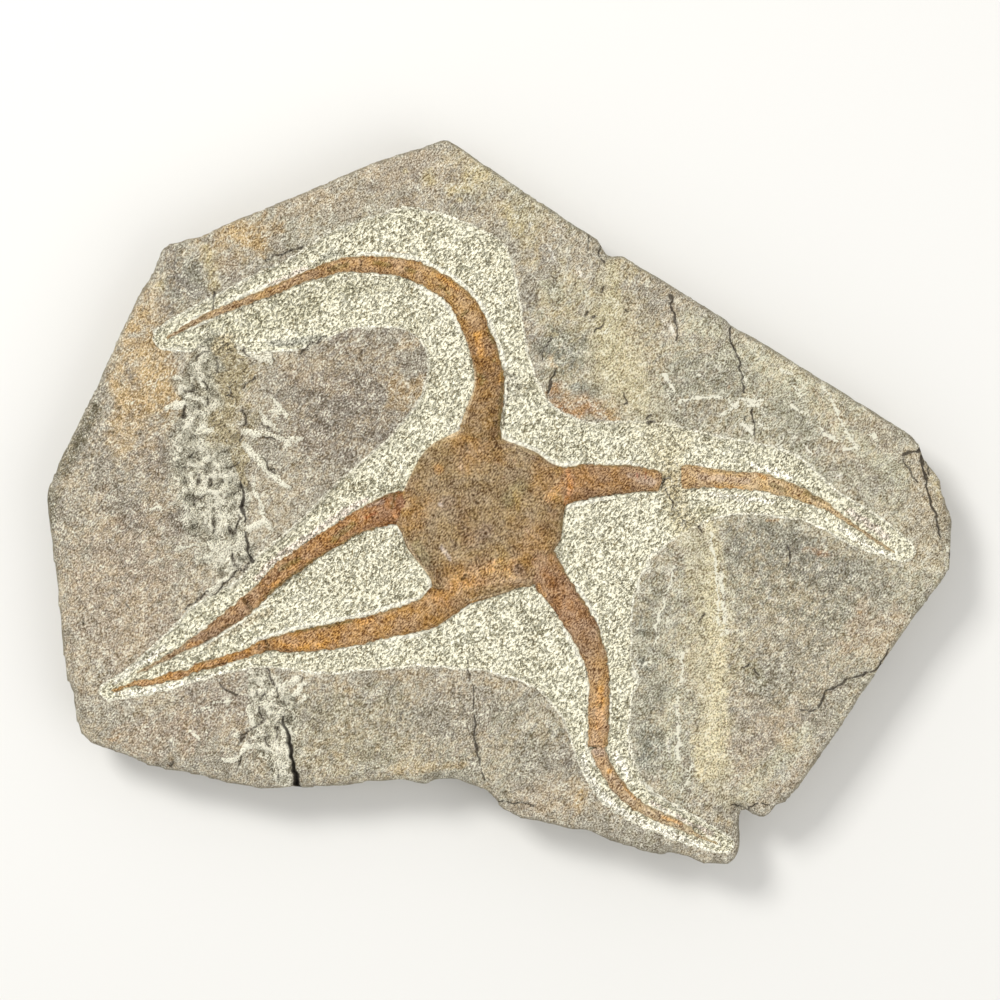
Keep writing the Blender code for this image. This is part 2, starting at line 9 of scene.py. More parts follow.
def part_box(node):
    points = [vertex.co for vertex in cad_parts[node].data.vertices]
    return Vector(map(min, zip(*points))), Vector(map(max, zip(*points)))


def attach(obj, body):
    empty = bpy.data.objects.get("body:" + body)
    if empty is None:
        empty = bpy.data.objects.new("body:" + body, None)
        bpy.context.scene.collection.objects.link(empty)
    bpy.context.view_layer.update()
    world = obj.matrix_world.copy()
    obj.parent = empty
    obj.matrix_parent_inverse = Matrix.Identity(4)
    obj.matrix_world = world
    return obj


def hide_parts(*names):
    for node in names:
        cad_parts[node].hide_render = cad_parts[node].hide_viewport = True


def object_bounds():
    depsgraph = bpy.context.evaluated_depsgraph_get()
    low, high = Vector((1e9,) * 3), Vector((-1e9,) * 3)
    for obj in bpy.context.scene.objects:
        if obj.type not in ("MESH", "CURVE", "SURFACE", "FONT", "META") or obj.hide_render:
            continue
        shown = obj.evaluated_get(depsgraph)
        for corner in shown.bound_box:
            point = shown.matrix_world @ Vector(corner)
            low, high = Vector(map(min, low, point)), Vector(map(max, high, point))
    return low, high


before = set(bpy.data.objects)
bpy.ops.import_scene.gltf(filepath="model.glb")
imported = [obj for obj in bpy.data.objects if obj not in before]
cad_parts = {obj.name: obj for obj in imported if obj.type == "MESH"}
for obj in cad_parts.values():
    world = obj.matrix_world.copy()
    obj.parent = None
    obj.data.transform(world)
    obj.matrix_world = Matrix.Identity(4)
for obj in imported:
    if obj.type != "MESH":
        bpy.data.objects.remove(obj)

bl_info = {
    "name": "Fossil Brittle Star",
    "version": (1, 0, 0),
    "blender": (4, 5, 0),
    "location": "View3D > Sidebar > Fossil",
    "description": "Dresses a fossil brittle star and its slab of sandstone",
    "category": "Object",
}

MM = 0.001
CAD_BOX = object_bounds()
SLAB_NODE = "matrix_slab"
DISC_NODE = "central_disc"

# heights in millimetres over the slab's base, directions and shares
SIDE_TOP = 12.0             # vertices of the upper face lie above this
FACE_LOW = 16.0             # the middles of its faces lie above this
GRAIN_TURN = (0.0, 0.0, math.radians(50))       # the way that the stone's grains lie
SHADED_SIDE = (0.7, 0.7)   # the way that the painted shade along the star's edges mostly faces
HEIGHT_SHARE = 0.42         # of an arm's height to its half width
CRACK_CLOSE = 0.35          # of a crack's fine end to its open one, in width
FINE_MARK = 1.2             # half width under which a mark is drawn crisply
FAR = 20.0                  # stands for a distance that is too large to matter

# ---- places on the slab's face, in millimetres, as seen from above ----

# Where the upper face ends, clockwise from the left.
SLAB_EDGE = [
    (-141, -62.5), (-143, -58.5), (-144, -52), (-146.5, -25.5), (-150, 1), (-149.5, 5),
    (-142.5, 20.5), (-135.5, 33.5), (-120, 67.5), (-115, 75.5), (-112, 83.5), (-109, 85.5),
    (-97.5, 88.5), (-90.5, 92), (-65.5, 102), (-41, 112.5), (-17.5, 120), (-13, 117.5), (3.5, 106),
    (33, 86.5), (36, 81), (39, 82), (41, 81.5), (75, 60.5), (76.5, 58.5), (86, 53.5), (132, 25),
    (137, 21.5), (139, 19), (140.5, 14.5), (145.5, 8.5), (146.5, 4), (148.5, -2), (150, -5),
    (149.5, -21.5), (148.5, -23), (132, -45), (113, -74), (98.5, -94.5), (94.5, -99.5), (92, -100),
    (89, -104), (86.5, -104.5), (79.5, -101), (80, -113.5), (79, -117), (75.5, -120), (67, -119.5),
    (64, -118), (56.5, -116), (53.5, -117), (46.5, -115.5), (35.5, -111.5), (29.5, -108.5),
    (23.5, -108.5), (15, -106), (8, -105), (4.5, -104), (0.5, -102), (-1, -99), (-4, -95.5),
    (-16, -91.5), (-20.5, -92), (-24.5, -93.5), (-34, -92), (-52.5, -94), (-65.5, -94.5),
    (-67, -93), (-68.5, -94.5), (-78.5, -95), (-92, -92.5), (-98.5, -90.5), (-115, -87.5),
    (-121.5, -84.5), (-135, -80), (-138.5, -76.5), (-140, -73), (-141, -67.5),
]

# The edge of the recess ground out round the star, clockwise from the top arm's tip.
RECESS = [
    (-114, 53.5), (-113.5, 56.5), (-110, 59.5), (-94.5, 68), (-86, 72), (-79, 76), (-67.5, 81.5),
    (-58, 88), (-53, 90.5), (-43.5, 94), (-37.5, 95.5), (-31.5, 97.5), (-19.5, 95.5), (-11, 92.5),
    (-4.5, 89.5), (1.5, 85.5), (4, 80.5), (7, 66.5), (10, 48), (15.5, 34.5), (19, 31), (24, 28.5),
    (30.5, 26.5), (40.5, 27), (49.5, 27), (62, 25), (68, 23), (86, 19.5), (98.5, 15.5), (106, 9),
    (113, 3), (125.5, -4.5), (132, -9.5), (136, -13.5), (137.5, -16.5), (136, -19), (133, -20),
    (122, -16.5), (115.5, -14), (105.5, -8.5), (99, -6), (83, -4), (75.5, -4.5), (69.5, -6),
    (63.5, -9), (57, -13), (51.5, -17.5), (48, -22.5), (45.5, -27), (44.5, -32), (44, -38),
    (44, -52), (46.5, -59), (44.5, -62.5), (43.5, -69), (43, -76.5), (44, -82), (46, -88),
    (49, -93.5), (53.5, -97), (59.5, -100), (66, -104), (77, -110.5), (78, -113.5), (76.5, -115.5),
    (72, -115.5), (58, -111.5), (51.5, -108.5), (45, -106), (35, -100), (28.5, -91.5), (23.5, -79),
    (21.5, -73), (18, -67.5), (14.5, -63.5), (9.5, -60), (-3, -56), (-14, -55), (-26.5, -54),
    (-35, -55), (-45, -55.5), (-54.5, -56.5), (-64, -56), (-76.5, -54.5), (-85, -55.5), (-93, -57),
    (-102.5, -60), (-112, -62.5), (-122, -64.5), (-129.5, -65), (-132, -63.5), (-131.5, -60.5),
    (-126, -57), (-119, -51.5), (-106.5, -40), (-101, -34), (-93, -29), (-85, -24), (-80.5, -18),
    (-73.5, -12.5), (-66, -6), (-59, 1), (-52.5, 7.5), (-44, 15), (-37, 21), (-28, 31.5),
    (-24.5, 38.5), (-23.5, 45), (-24.5, 51), (-28.5, 55.5), (-35, 57.5), (-43.5, 57.5),
    (-50.5, 56.5), (-64.5, 50.5), (-73.5, 49.5), (-81, 49), (-88.5, 50), (-95, 50), (-102.5, 49.5),
    (-109, 50), (-112.5, 51),
]

# The disc's edge, clockwise.
DISC_EDGE = [
    (0.5, 21), (4, 19.5), (8.5, 18), (12.5, 16.2), (17, 12.8), (21.5, 11), (22.5, 0), (21.5, -3),
    (21, -8), (20.5, -12), (10.5, -28), (7, -28), (2, -30), (-4.5, -32), (-10, -33.5), (-22, -28.5),
    (-22.5, -25.5), (-26.5, -20), (-30.5, -15), (-32, -10.5), (-34, -7), (-33.5, 2), (-31.5, 4),
    (-29.5, 8.5), (-27.5, 12.5), (-24.5, 17), (-21, 20), (-17, 22), (-12.5, 24),
]

# Each arm's centre line from the disc to its tip: x, y and half width.
ARM_LINES = {
    "arm_top": [
        (-6.2, 19.5, 6.8), (-6.1, 23.8, 6.8), (-5.2, 29, 6.1), (-3.7, 35, 5.4), (-3.3, 41.3, 4.9),
        (-4.4, 47.7, 4.7), (-7.3, 55.9, 4.4), (-10.2, 62.8, 4.2), (-15.1, 68.9, 3.6),
        (-21.9, 73.5, 3.4), (-29.9, 76.9, 3.3), (-39.2, 78.4, 2.9), (-45.7, 78.5, 2.7),
        (-52.3, 78.2, 2.3), (-58.9, 76.1, 2), (-65.5, 73.7, 1.6), (-72, 70.9, 1.5),
        (-78.6, 68.4, 1.4), (-85.2, 65.8, 1.3), (-91.8, 63.2, 1.2), (-98.4, 60.4, 1),
        (-105, 56.9, 0.6), (-109.6, 54.1, 0.3),
    ],
    "arm_upper_left": [
        (-30.5, -1.5, 5.3), (-35.2, -2.1, 5.1), (-41, -4.3, 4.4), (-47.4, -7.1, 3.7),
        (-54.2, -11.4, 3.5), (-60.4, -15.1, 3.3), (-66.6, -19.4, 3.4), (-72.2, -23.4, 3.3),
        (-77, -28.1, 2.8), (-82, -32.7, 2.9), (-86.6, -36.5, 2.8), (-91.5, -39.9, 2.4),
        (-96.3, -43.6, 2.1), (-101.4, -46.6, 1.6), (-106.2, -49.4, 1), (-111.5, -52.2, 0.8),
        (-116, -54.6, 0.6), (-119.5, -56.2, 0.3),
    ],
    "arm_lower_left": [
        (-12.5, -27.5, 6.3), (-22.7, -35.8, 5.5), (-29, -38.2, 4.9), (-35.9, -39.8, 4.4),
        (-42.9, -41.7, 4.3), (-52.3, -43.7, 4.3), (-61.7, -45.2, 4), (-69.7, -46.2, 3.2),
        (-75.3, -46.9, 2.2), (-79.5, -48.1, 2), (-84, -50, 1.5), (-89.5, -51.6, 1.4),
        (-93.4, -52.9, 1.6), (-98, -53.9, 1.5), (-102, -55.7, 1.1), (-106.3, -57, 1.6),
        (-109.5, -57.7, 1.4), (-113, -59, 1.1), (-117, -59.4, 1.3), (-120, -59.8, 0.9),
        (-124.2, -61, 0.5), (-126.3, -61.8, 0.7), (-127.8, -62, 0.4),
    ],
    "arm_lower_right": [
        (11, -16, 6.5), (16.5, -24.8, 5.6), (19.4, -28.8, 5.2), (24, -35.7, 4.9), (27.4, -41, 4.8),
        (30.4, -47.9, 4.3), (32.2, -53.8, 3.7), (33, -60, 3.5), (33, -70, 3.4), (32.7, -75.5, 3.4),
        (32.4, -80.3, 3.3),
    ],
    "arm_lower_right_tip": [
        (32.5, -81, 2.8), (34, -85.3, 2.4), (36.8, -90.2, 2.3), (39.6, -94.2, 2.3),
        (42.5, -97.2, 2.1), (45.8, -99.9, 1.9), (50, -102.3, 1.8), (54.5, -104.3, 1.8),
        (58.5, -105.9, 1.6), (61.8, -107.6, 1.2), (64.5, -109.2, 0.7), (68, -110.9, 0.5),
        (72, -112.6, 0.3),
    ],
    "arm_right_inner": [
        (18.5, 5.6, 6.2), (22.9, 5.7, 6), (29.1, 6.9, 5.8), (35.2, 7.3, 5.1), (41.5, 7.7, 4.8),
        (46.4, 7.6, 4.2), (51.7, 7.2, 3.6), (53.3, 7, 2.8),
    ],
    "arm_right_outer": [
        (60.3, 8.3, 3.8), (63.5, 8.5, 3.9), (68.8, 8.1, 3.3), (73, 7.7, 3), (79.2, 7.2, 3),
        (85, 7, 3.1), (89.7, 6, 2.9), (93.5, 4.7, 2.8), (97.3, 3.6, 2.4), (101, 2, 2.1),
        (105, 0.2, 1.8), (108.6, -1.5, 1.2), (112.1, -4.2, 0.7), (117.6, -8, 0.6),
        (123.1, -11.9, 0.6), (128, -15, 0.5), (130.4, -16.5, 0.3),
    ],
}
DISC_ARMS = ("arm_top", "arm_upper_left", "arm_lower_left", "arm_lower_right", "arm_right_inner")

# Cracks: points from the fine end to the open one, width and depth there.
CRACKS = [
    ([(-71.3, -71), (-70.3, -74), (-69.3, -77.5), (-68.5, -81), (-68, -85), (-67.3, -88),
     (-66.6, -91), (-66.8, -95)], 1.7, 5),
    ([(-85.2, 6.5), (-84.8, 4.5), (-84, 2.5), (-84.3, 0.5), (-84.8, -1.8)], 1, 1.4),
    ([(-83.4, -6), (-84, -3.5), (-84.8, -1.8)], 1, 1.4),
    ([(-83.7, -9.5), (-83, -12.5), (-82.4, -15), (-82.3, -17), (-81.5, -19.5)], 0.9, 1.3),
    ([(19, 44), (17.5, 40.5), (16, 36.5)], 0.7, 0.8),
    ([(145.6, -11.5), (145, -9.5), (144, -6), (143, -2), (142, 1.5), (141, 5), (140.2, 8.5),
     (139.8, 11.5), (139.3, 14), (139.5, 16.5)], 0.7, 0.9),
    ([(132.5, 15.3), (133, 16), (136, 16.3), (138.5, 16.8), (139.5, 18.5)], 0.6, 0.9),
    ([(99, -68.5), (103, -68.5), (105.5, -66), (107.5, -62.5), (111.5, -60.5), (117, -57.5),
     (122, -56), (125.5, -53.5), (128.5, -48.5)], 0.4, 0.7),
    ([(80.8, 36.3), (80.2, 39), (79.8, 41.5), (79.2, 45), (78.3, 48.5), (77.4, 50.5), (76.6, 54),
     (76.2, 57.3)], 0.5, 0.7),
    ([(84.4, 21), (84.1, 23.5), (83.7, 26.5), (83.2, 30.5)], 0.35, 0.5),
    ([(58.8, 53), (58, 58), (57.3, 63), (56.5, 68.5)], 0.4, 0.5),
    ([(-10.5, -52), (-10, -56), (-8.5, -61.5), (-8, -70), (-8, -78), (-7, -83.5), (-5, -91.5)], 0.3,
     0.4),
    ([(-92.5, -58.5), (-90, -61.5), (-86.5, -63.5)], 0.35, 0.5),
    ([(-93, 60.5), (-94, 65.5), (-94, 69)], 0.35, 0.5),
    ([(94, -11.5), (95.5, -16.5), (95.5, -21)], 0.35, 0.4),
]

# Dark crevices, and a few shadow lines painted along the recess's slope: x, y and half width along
# each.
CREVICES = [
    [(-96.2, 49.8, 0.3), (-98.4, 48.5, 0.4), (-99.7, 47.9, 0.4), (-100, 46.6, 0.3)],
    [(-84.4, 50.7, 0.3), (-82.8, 48.5, 0.3), (-81.9, 47.9, 0.3)],
    [(-74.5, 49, 0.3), (-74.2, 46.8, 0.3)],
    [(-103.6, 32, 0.3), (-103.3, 29.8, 0.5), (-103.9, 27.9, 0.4)],
    [(-96.7, 39.7, 0.3), (-96.5, 37.5, 0.3)], [(-96.5, 34.5, 0.3), (-95.6, 32.8, 0.3)],
    [(-89, 37.8, 0.3), (-88.2, 36.4, 0.3), (-89.6, 34.8, 0.3), (-87.4, 34.8, 0.3)],
    [(-84.9, 30.1, 0.3), (-83.3, 28.2, 0.5), (-83, 26, 0.4), (-84.1, 25.2, 0.3)],
    [(-84.9, 21.6, 0.3), (-85.7, 20, 0.3)],
    [(-85.8, 13.4, 0.3), (-87.4, 12, 0.4), (-88.5, 11.2, 0.3)],
    [(-98.9, 9, 0.4), (-99.2, 6.8, 0.6), (-99.5, 5.7, 0.4)],
    [(-96.7, 1.9, 0.3), (-98.9, 1.3, 0.4), (-100.6, 0.5, 0.5), (-100.5, -0.9, 0.4)],
    [(-94.8, 7.4, 0.3), (-95.1, 5.7, 0.3)],
    [(-94.5, -5.3, 0.3), (-94, -8.5, 0.5), (-94.5, -10.2, 0.3)],
    [(-89.3, -8.5, 0.4), (-88, -10.5, 0.5), (-86.9, -9.1, 0.4), (-86.1, -7.5, 0.4),
     (-85.2, -4.7, 0.4)],
    [(-87.7, -16.8, 0.4), (-88, -20, 0.5), (-87.4, -21.1, 0.5), (-84.1, -22.8, 0.5)],
    [(-82.5, -20, 0.4), (-84.1, -22.2, 0.5), (-86.3, -23.3, 0.4), (-89, -25.5, 0.3),
     (-91.2, -27.7, 0.3), (-94.5, -30.5, 0.3)],
    [(-100.3, 37.5, 0.4), (-101.9, 36.1, 0.5), (-103.3, 35.9, 0.4)],
    [(-92.9, 47.7, 0.2), (-92.3, 45.2, 0.2), (-94, 41.9, 0.2)],
    [(-80.6, 41.6, 0.2), (-81.4, 40.2, 0.3), (-83.3, 38.6, 0.3), (-84.4, 37.5, 0.3)],
    [(-73.7, 18.3, 0.3)], [(-100.8, 16.2, 0.3), (-101.7, 14.5, 0.3)],
    [(-78.3, 14.3, 0.2), (-75.2, 11.2, 0.3), (-73.2, 9.4, 0.2)],
    [(-78, 26.2, 0.2), (-75.8, 24, 0.2)], [(-79, 21.6, 0.2), (-74, 20.6, 0.2)],
    # painted shadow lines along the recess's slope: this one and the next
    [(-65.5, 49, 0.3), (-62.5, 51.5, 0.6), (-57, 54.3, 0.4)],
    [(-77, 80, 0.3), (-72, 81.8, 0.35), (-65, 84.5, 0.25)],
    [(30, 88, 0.3), (29.6, 85, 0.25), (29.4, 83, 0.2)],
    [(33.5, 84.5, 0.4), (33.3, 82, 0.5), (34.5, 79.5, 0.4)], [(29.5, 62.5, 0.35), (28, 61.5, 0.25)],
    [(31, 61.3, 0.3), (32, 61.5, 0.2)], [(35, 60, 0.2), (33, 57.5, 0.3), (31.5, 56.5, 0.35)],
    [(42, 63.3, 0.25), (43.5, 63.2, 0.2)], [(34.8, 71.3, 0.3), (34, 69, 0.2)],
    [(18, 56, 0.25), (17, 53, 0.3), (15, 50.5, 0.25), (14.3, 47.5, 0.25)],
    [(41, 35.8, 0.25), (42.2, 34, 0.35), (42.5, 32.6, 0.35), (41.2, 32.2, 0.2)],
    [(48.5, 27.5, 0.5), (50, 28.5, 0.5)], [(49, 26.5, 0.4), (51, 26.3, 0.4)],
    [(-31.5, -69, 0.25), (-32.5, -71.5, 0.3)], [(-122.8, -33.8, 0.25), (-121.8, -35.3, 0.3)],
    [(-137.3, -38, 0.2), (-136.6, -40, 0.3)], [(-109, -86.8, 0.4), (-107.7, -85.3, 0.3)],
    # a painted shadow line along the recess's slope
    [(-103.5, -35.2, 0.3), (-99.5, -31.8, 0.4), (-95.5, -29, 0.4)],
    [(-1, -98.5, 0.2), (5, -99.3, 0.3), (8, -98.7, 0.45), (12, -99.8, 0.2)],
    [(80, -54, 0.3), (82, -53.5, 0.3)], [(84.5, -55, 0.3), (85.5, -57, 0.3)],
    [(77, -99.5, 0.2), (82, -101, 0.25), (84, -99.5, 0.3), (89, -99.5, 0.2)],
    [(-76.5, -54.5, 0.35), (-75.2, -57, 0.5), (-74.2, -59.5, 0.5)],
    [(-73, -61, 0.25), (-72.7, -64, 0.4)], [(-80, -61.5, 0.2), (-79, -65, 0.25)],
    [(-77.3, -62.5, 0.25), (-77.7, -65, 0.3)],
    [(-78.8, -67, 0.3), (-79, -69.5, 0.5), (-77.2, -71, 0.5), (-80, -73.5, 0.5), (-82.5, -75, 0.5),
     (-84.5, -77.5, 0.5), (-86, -80, 0.3)], [(-73.5, -72, 0.25), (-71.8, -72, 0.2)],
    [(-73.3, -74, 0.3), (-73.2, -77.5, 0.3)],
    [(-77.2, -75, 0.2), (-77, -78, 0.3), (-75.5, -80.5, 0.2)],
    [(-64.5, -58, 0.3), (-64.8, -59.8, 0.3)], [(-73, -87, 0.2), (-73, -90.5, 0.25)],
    [(-84.8, -83, 0.2), (-85.5, -87, 0.3)],
    [(132.8, 14.8, 0.3), (134.3, 11.5, 0.3), (136.5, 9, 0.25), (138.3, 6, 0.2)],
    [(142, 12, 0.2), (141.5, 9.5, 0.3)], [(148.8, -15.5, 0.25), (149, -20, 0.25)],
    [(67.5, -37, 0.2), (66, -39.5, 0.25)], [(48, -51, 0.2), (46.5, -53.5, 0.25)],
    [(92.95, 21.25, 0.25), (93.05, 21.15, 0.25)], [(81, 28.5, 0.25), (80.8, 27, 0.2)],
    [(51.7, 4, 0.25), (54.3, 7, 0.4), (56.3, 8.5, 0.25)], [(66, -8, 0.25), (67, -10, 0.3)],
    [(55.4, 4.3, 0.25), (56.6, 1.8, 0.35), (57.6, -0.2, 0.35), (57.2, -3.2, 0.25)],
    [(60.5, -6, 0.3), (62, -8, 0.3)],
]

# The left break: x, y and half width along its middle.
SMASHED = [(-92, 47, 9), (-94, 38, 13), (-96, 25, 15), (-95, 10, 14), (-92, -5, 13), (-90, -18, 8)]
# The grainy olive filling down the middle of the left break, and between the two right pieces.
FILLING = [(-89, 50, 4), (-88, 38, 6), (-89, 24, 5.5), (-86, 14, 4), (-84, 6, 2)]
GAP_FILLING = [(57, 15, 4), (56.5, 8, 8), (58, 1, 6), (60, -7, 5)]
# The loose whitish flakes round the open crack at the foot.
FLAKED = [(-78, -60, 7), (-74, -70, 9), (-72, -82, 8), (-69, -92, 3)]
# The right break, filled and rubbed down.
MENDED = [
    (36.5, 79, 3.5), (35, 70, 6.5), (34.5, 57, 11), (38, 43.5, 13), (46.5, 32, 11), (55, 18, 8),
    (57, 6, 6), (60, -6, 8), (68, -18, 7), (70, -30, 6), (70, -60, 7), (70.5, -80, 8),
    (76, -100, 4),
]
# Fresh white crests, splinters and flakes that stand up: x, y and half width along each.
CRESTS = [
    [(-86.9, 52.1, 0.3), (-84.4, 49.2, 0.4), (-82.5, 48.6, 0.3)],
    [(-81, 48, 0.5), (-78, 47.5, 1.1), (-75.5, 47.3, 1)],
    [(-74.8, 34.5, 0.3), (-73.2, 32.6, 0.4), (-71, 30.4, 0.4), (-69.3, 28.2, 0.3)],
    [(-74.8, 30, 0.3), (-72.1, 30.1, 0.4), (-70.1, 29.3, 0.3)],
    [(-78.9, 29.8, 0.3), (-77, 27.6, 0.5), (-75.3, 25.4, 0.5), (-72.3, 23.3, 0.4)],
    [(-68.8, 20.8, 0.3), (-65.5, 21.1, 0.4)],
    [(-84.4, 23.3, 0.7), (-79.7, 22.8, 0.8), (-75.3, 21.9, 0.7), (-71.5, 20.8, 0.5),
     (-69.6, 19.1, 0.3)],
    [(-83.6, 18.9, 0.5), (-81.3, 16.6, 1), (-79.7, 14.8, 0.9), (-76.4, 11.2, 0.7),
     (-72.6, 7.4, 0.6), (-68.8, 4.6, 0.4)],
    [(-80.8, 5.7, 0.4), (-79.7, 1.9, 0.5), (-78.4, -2.2, 0.5), (-77, -4.2, 0.4), (-76.4, -6.9, 0.5),
     (-75.6, -8.8, 0.3)], [(-83.6, -8.8, 0.5), (-80.8, -7.7, 0.9), (-77, -6.3, 0.5)],
    [(-103, 34.2, 0.3), (-101.1, 35, 0.5), (-98.4, 34.2, 0.5), (-96.7, 32.6, 0.3)],
    [(-109, 31, 0.5), (-106.5, 31.3, 0.8), (-104.5, 32, 0.9)],
    [(-103.9, 26.8, 0.4), (-101.7, 28.2, 0.5), (-98.9, 29.3, 0.4)],
    [(-99.2, 23.3, 0.6), (-96.7, 23.8, 0.8), (-95.1, 24.3, 0.5)],
    [(-107, 41, 0.5), (-106, 41.5, 0.4)], [(-99, 41, 0.2), (-97.8, 40, 0.4), (-97.5, 38, 0.2)],
    [(-99.7, 11.7, 0.6), (-97.8, 13.4, 1), (-95.6, 14.8, 0.7)],
    [(-101.8, 9.5, 0.5), (-100.8, 7, 0.3)], [(-97.8, 8.5, 0.4), (-97, 6.5, 0.7), (-98, 4.8, 0.5)],
    [(-100, 2.6, 0.4), (-98.4, 3.8, 0.6), (-95.6, 4, 0.4)],
    [(-89.6, 8, 0.5), (-90.2, 5.1, 0.7), (-90.7, 2.9, 0.5)],
    [(-101.1, -1.9, 0.5), (-100.3, -3.6, 0.6)],
    [(-95.2, -2.5, 0.4), (-95.1, -5.3, 0.5), (-95, -8.5, 0.4)],
    [(-90.2, -5, 0.5), (-90.7, -8, 0.8), (-89.8, -9.2, 0.4)],
    [(-88.5, -5.3, 0.4), (-87.4, -6.9, 0.5), (-87.2, -8, 0.3)],
    [(-89.3, -11.3, 0.4), (-88.5, -12.4, 0.5), (-89, -14.6, 0.4)],
    [(-84.5, -11.3, 0.4), (-84.2, -14, 0.7), (-84.6, -17.3, 0.5)],
    [(-88.6, -17.3, 0.3), (-89, -20, 0.5), (-89.5, -22, 0.4)],
    [(-88.5, -23.9, 0.4), (-91.8, -26.6, 0.7), (-95.5, -29.4, 0.5)],
    [(-96.7, -18.4, 0.4), (-92.9, -16.8, 0.6), (-90.7, -18.4, 0.4)],
    [(-94.8, -12.9, 0.4), (-94.5, -14.6, 0.4)], [(-106, -15.5, 0.2), (-99.5, -14, 0.2)],
    [(-93.5, 13.5, 0.5), (-92, 11.5, 0.7)], [(-86.3, 2, 0.3), (-85.7, -1, 0.3)],
    [(-101, 45.5, 0.3), (-98.5, 46.6, 0.4), (-96.5, 47.6, 0.3)],
    [(-74.5, -61.5, 0.5), (-71, -60, 0.4), (-68, -59.5, 0.6), (-66, -58, 0.4)],
    [(-67.5, -63, 0.6), (-66, -62, 0.9), (-64.5, -60.5, 0.5)],
    [(-66, -65.5, 0.3), (-63.5, -64, 0.5)], [(-78.5, -59, 0.4), (-78.3, -62.5, 0.6)],
    [(-74.5, -61.5, 0.4), (-74.8, -65, 0.6)],
    [(-82.5, -67.5, 0.5), (-82, -70, 0.8), (-81.3, -72, 0.6)],
    [(-77.5, -66.5, 0.5), (-76.5, -68.5, 0.4)],
    [(-71.3, -73.5, 0.4), (-70.8, -77, 0.6), (-70, -81, 0.5), (-69.5, -84, 0.3)],
    [(-73, -80, 0.6), (-73, -84, 1), (-72.5, -86.5, 0.6)], [(-86.5, -76.5, 0.4), (-86, -77, 0.4)],
    [(-90, -85, 0.25), (-86, -84, 0.4), (-83.5, -80.5, 0.5), (-82, -80, 0.4)],
    [(-80, -77.5, 0.4), (-77.5, -75.5, 0.4)], [(-73.5, -88, 0.4), (-73.8, -90, 0.4)],
    [(-89.5, -66.5, 0.3), (-88.5, -65.5, 0.4)], [(-80.5, -57, 0.5), (-79.5, -58, 0.6)],
]
# Where fresh white chips line the star.
CHIPPED = [
    [(0.5, 21.8), (5.3, 20.4), (10.2, 18.8), (15.1, 15.6), (20, 13), (25, 12)],
    [(25.3, -28.5), (31.5, -37)], [(22.5, -43), (26.5, -52)], [(23, -0.8), (29, 0.2), (36, 1.8)],
    [(-45, 81.5), (-39, 81.9), (-31, 80.8), (-22, 77.5), (-14.5, 73.2), (-8, 67.3), (-4.3, 60),
     (-1.6, 54), (1.3, 46)], [(-30, -32.7), (-47.7, -38), (-66.5, -41.3), (-80, -45.6)],
    [(-36, -44.8), (-28, -43.7)], [(-27, 70), (-17, 64.5), (-13, 58)], [(-90, 66), (-78, 71)],
    [(37, 12.7), (42, 12.5)],
]
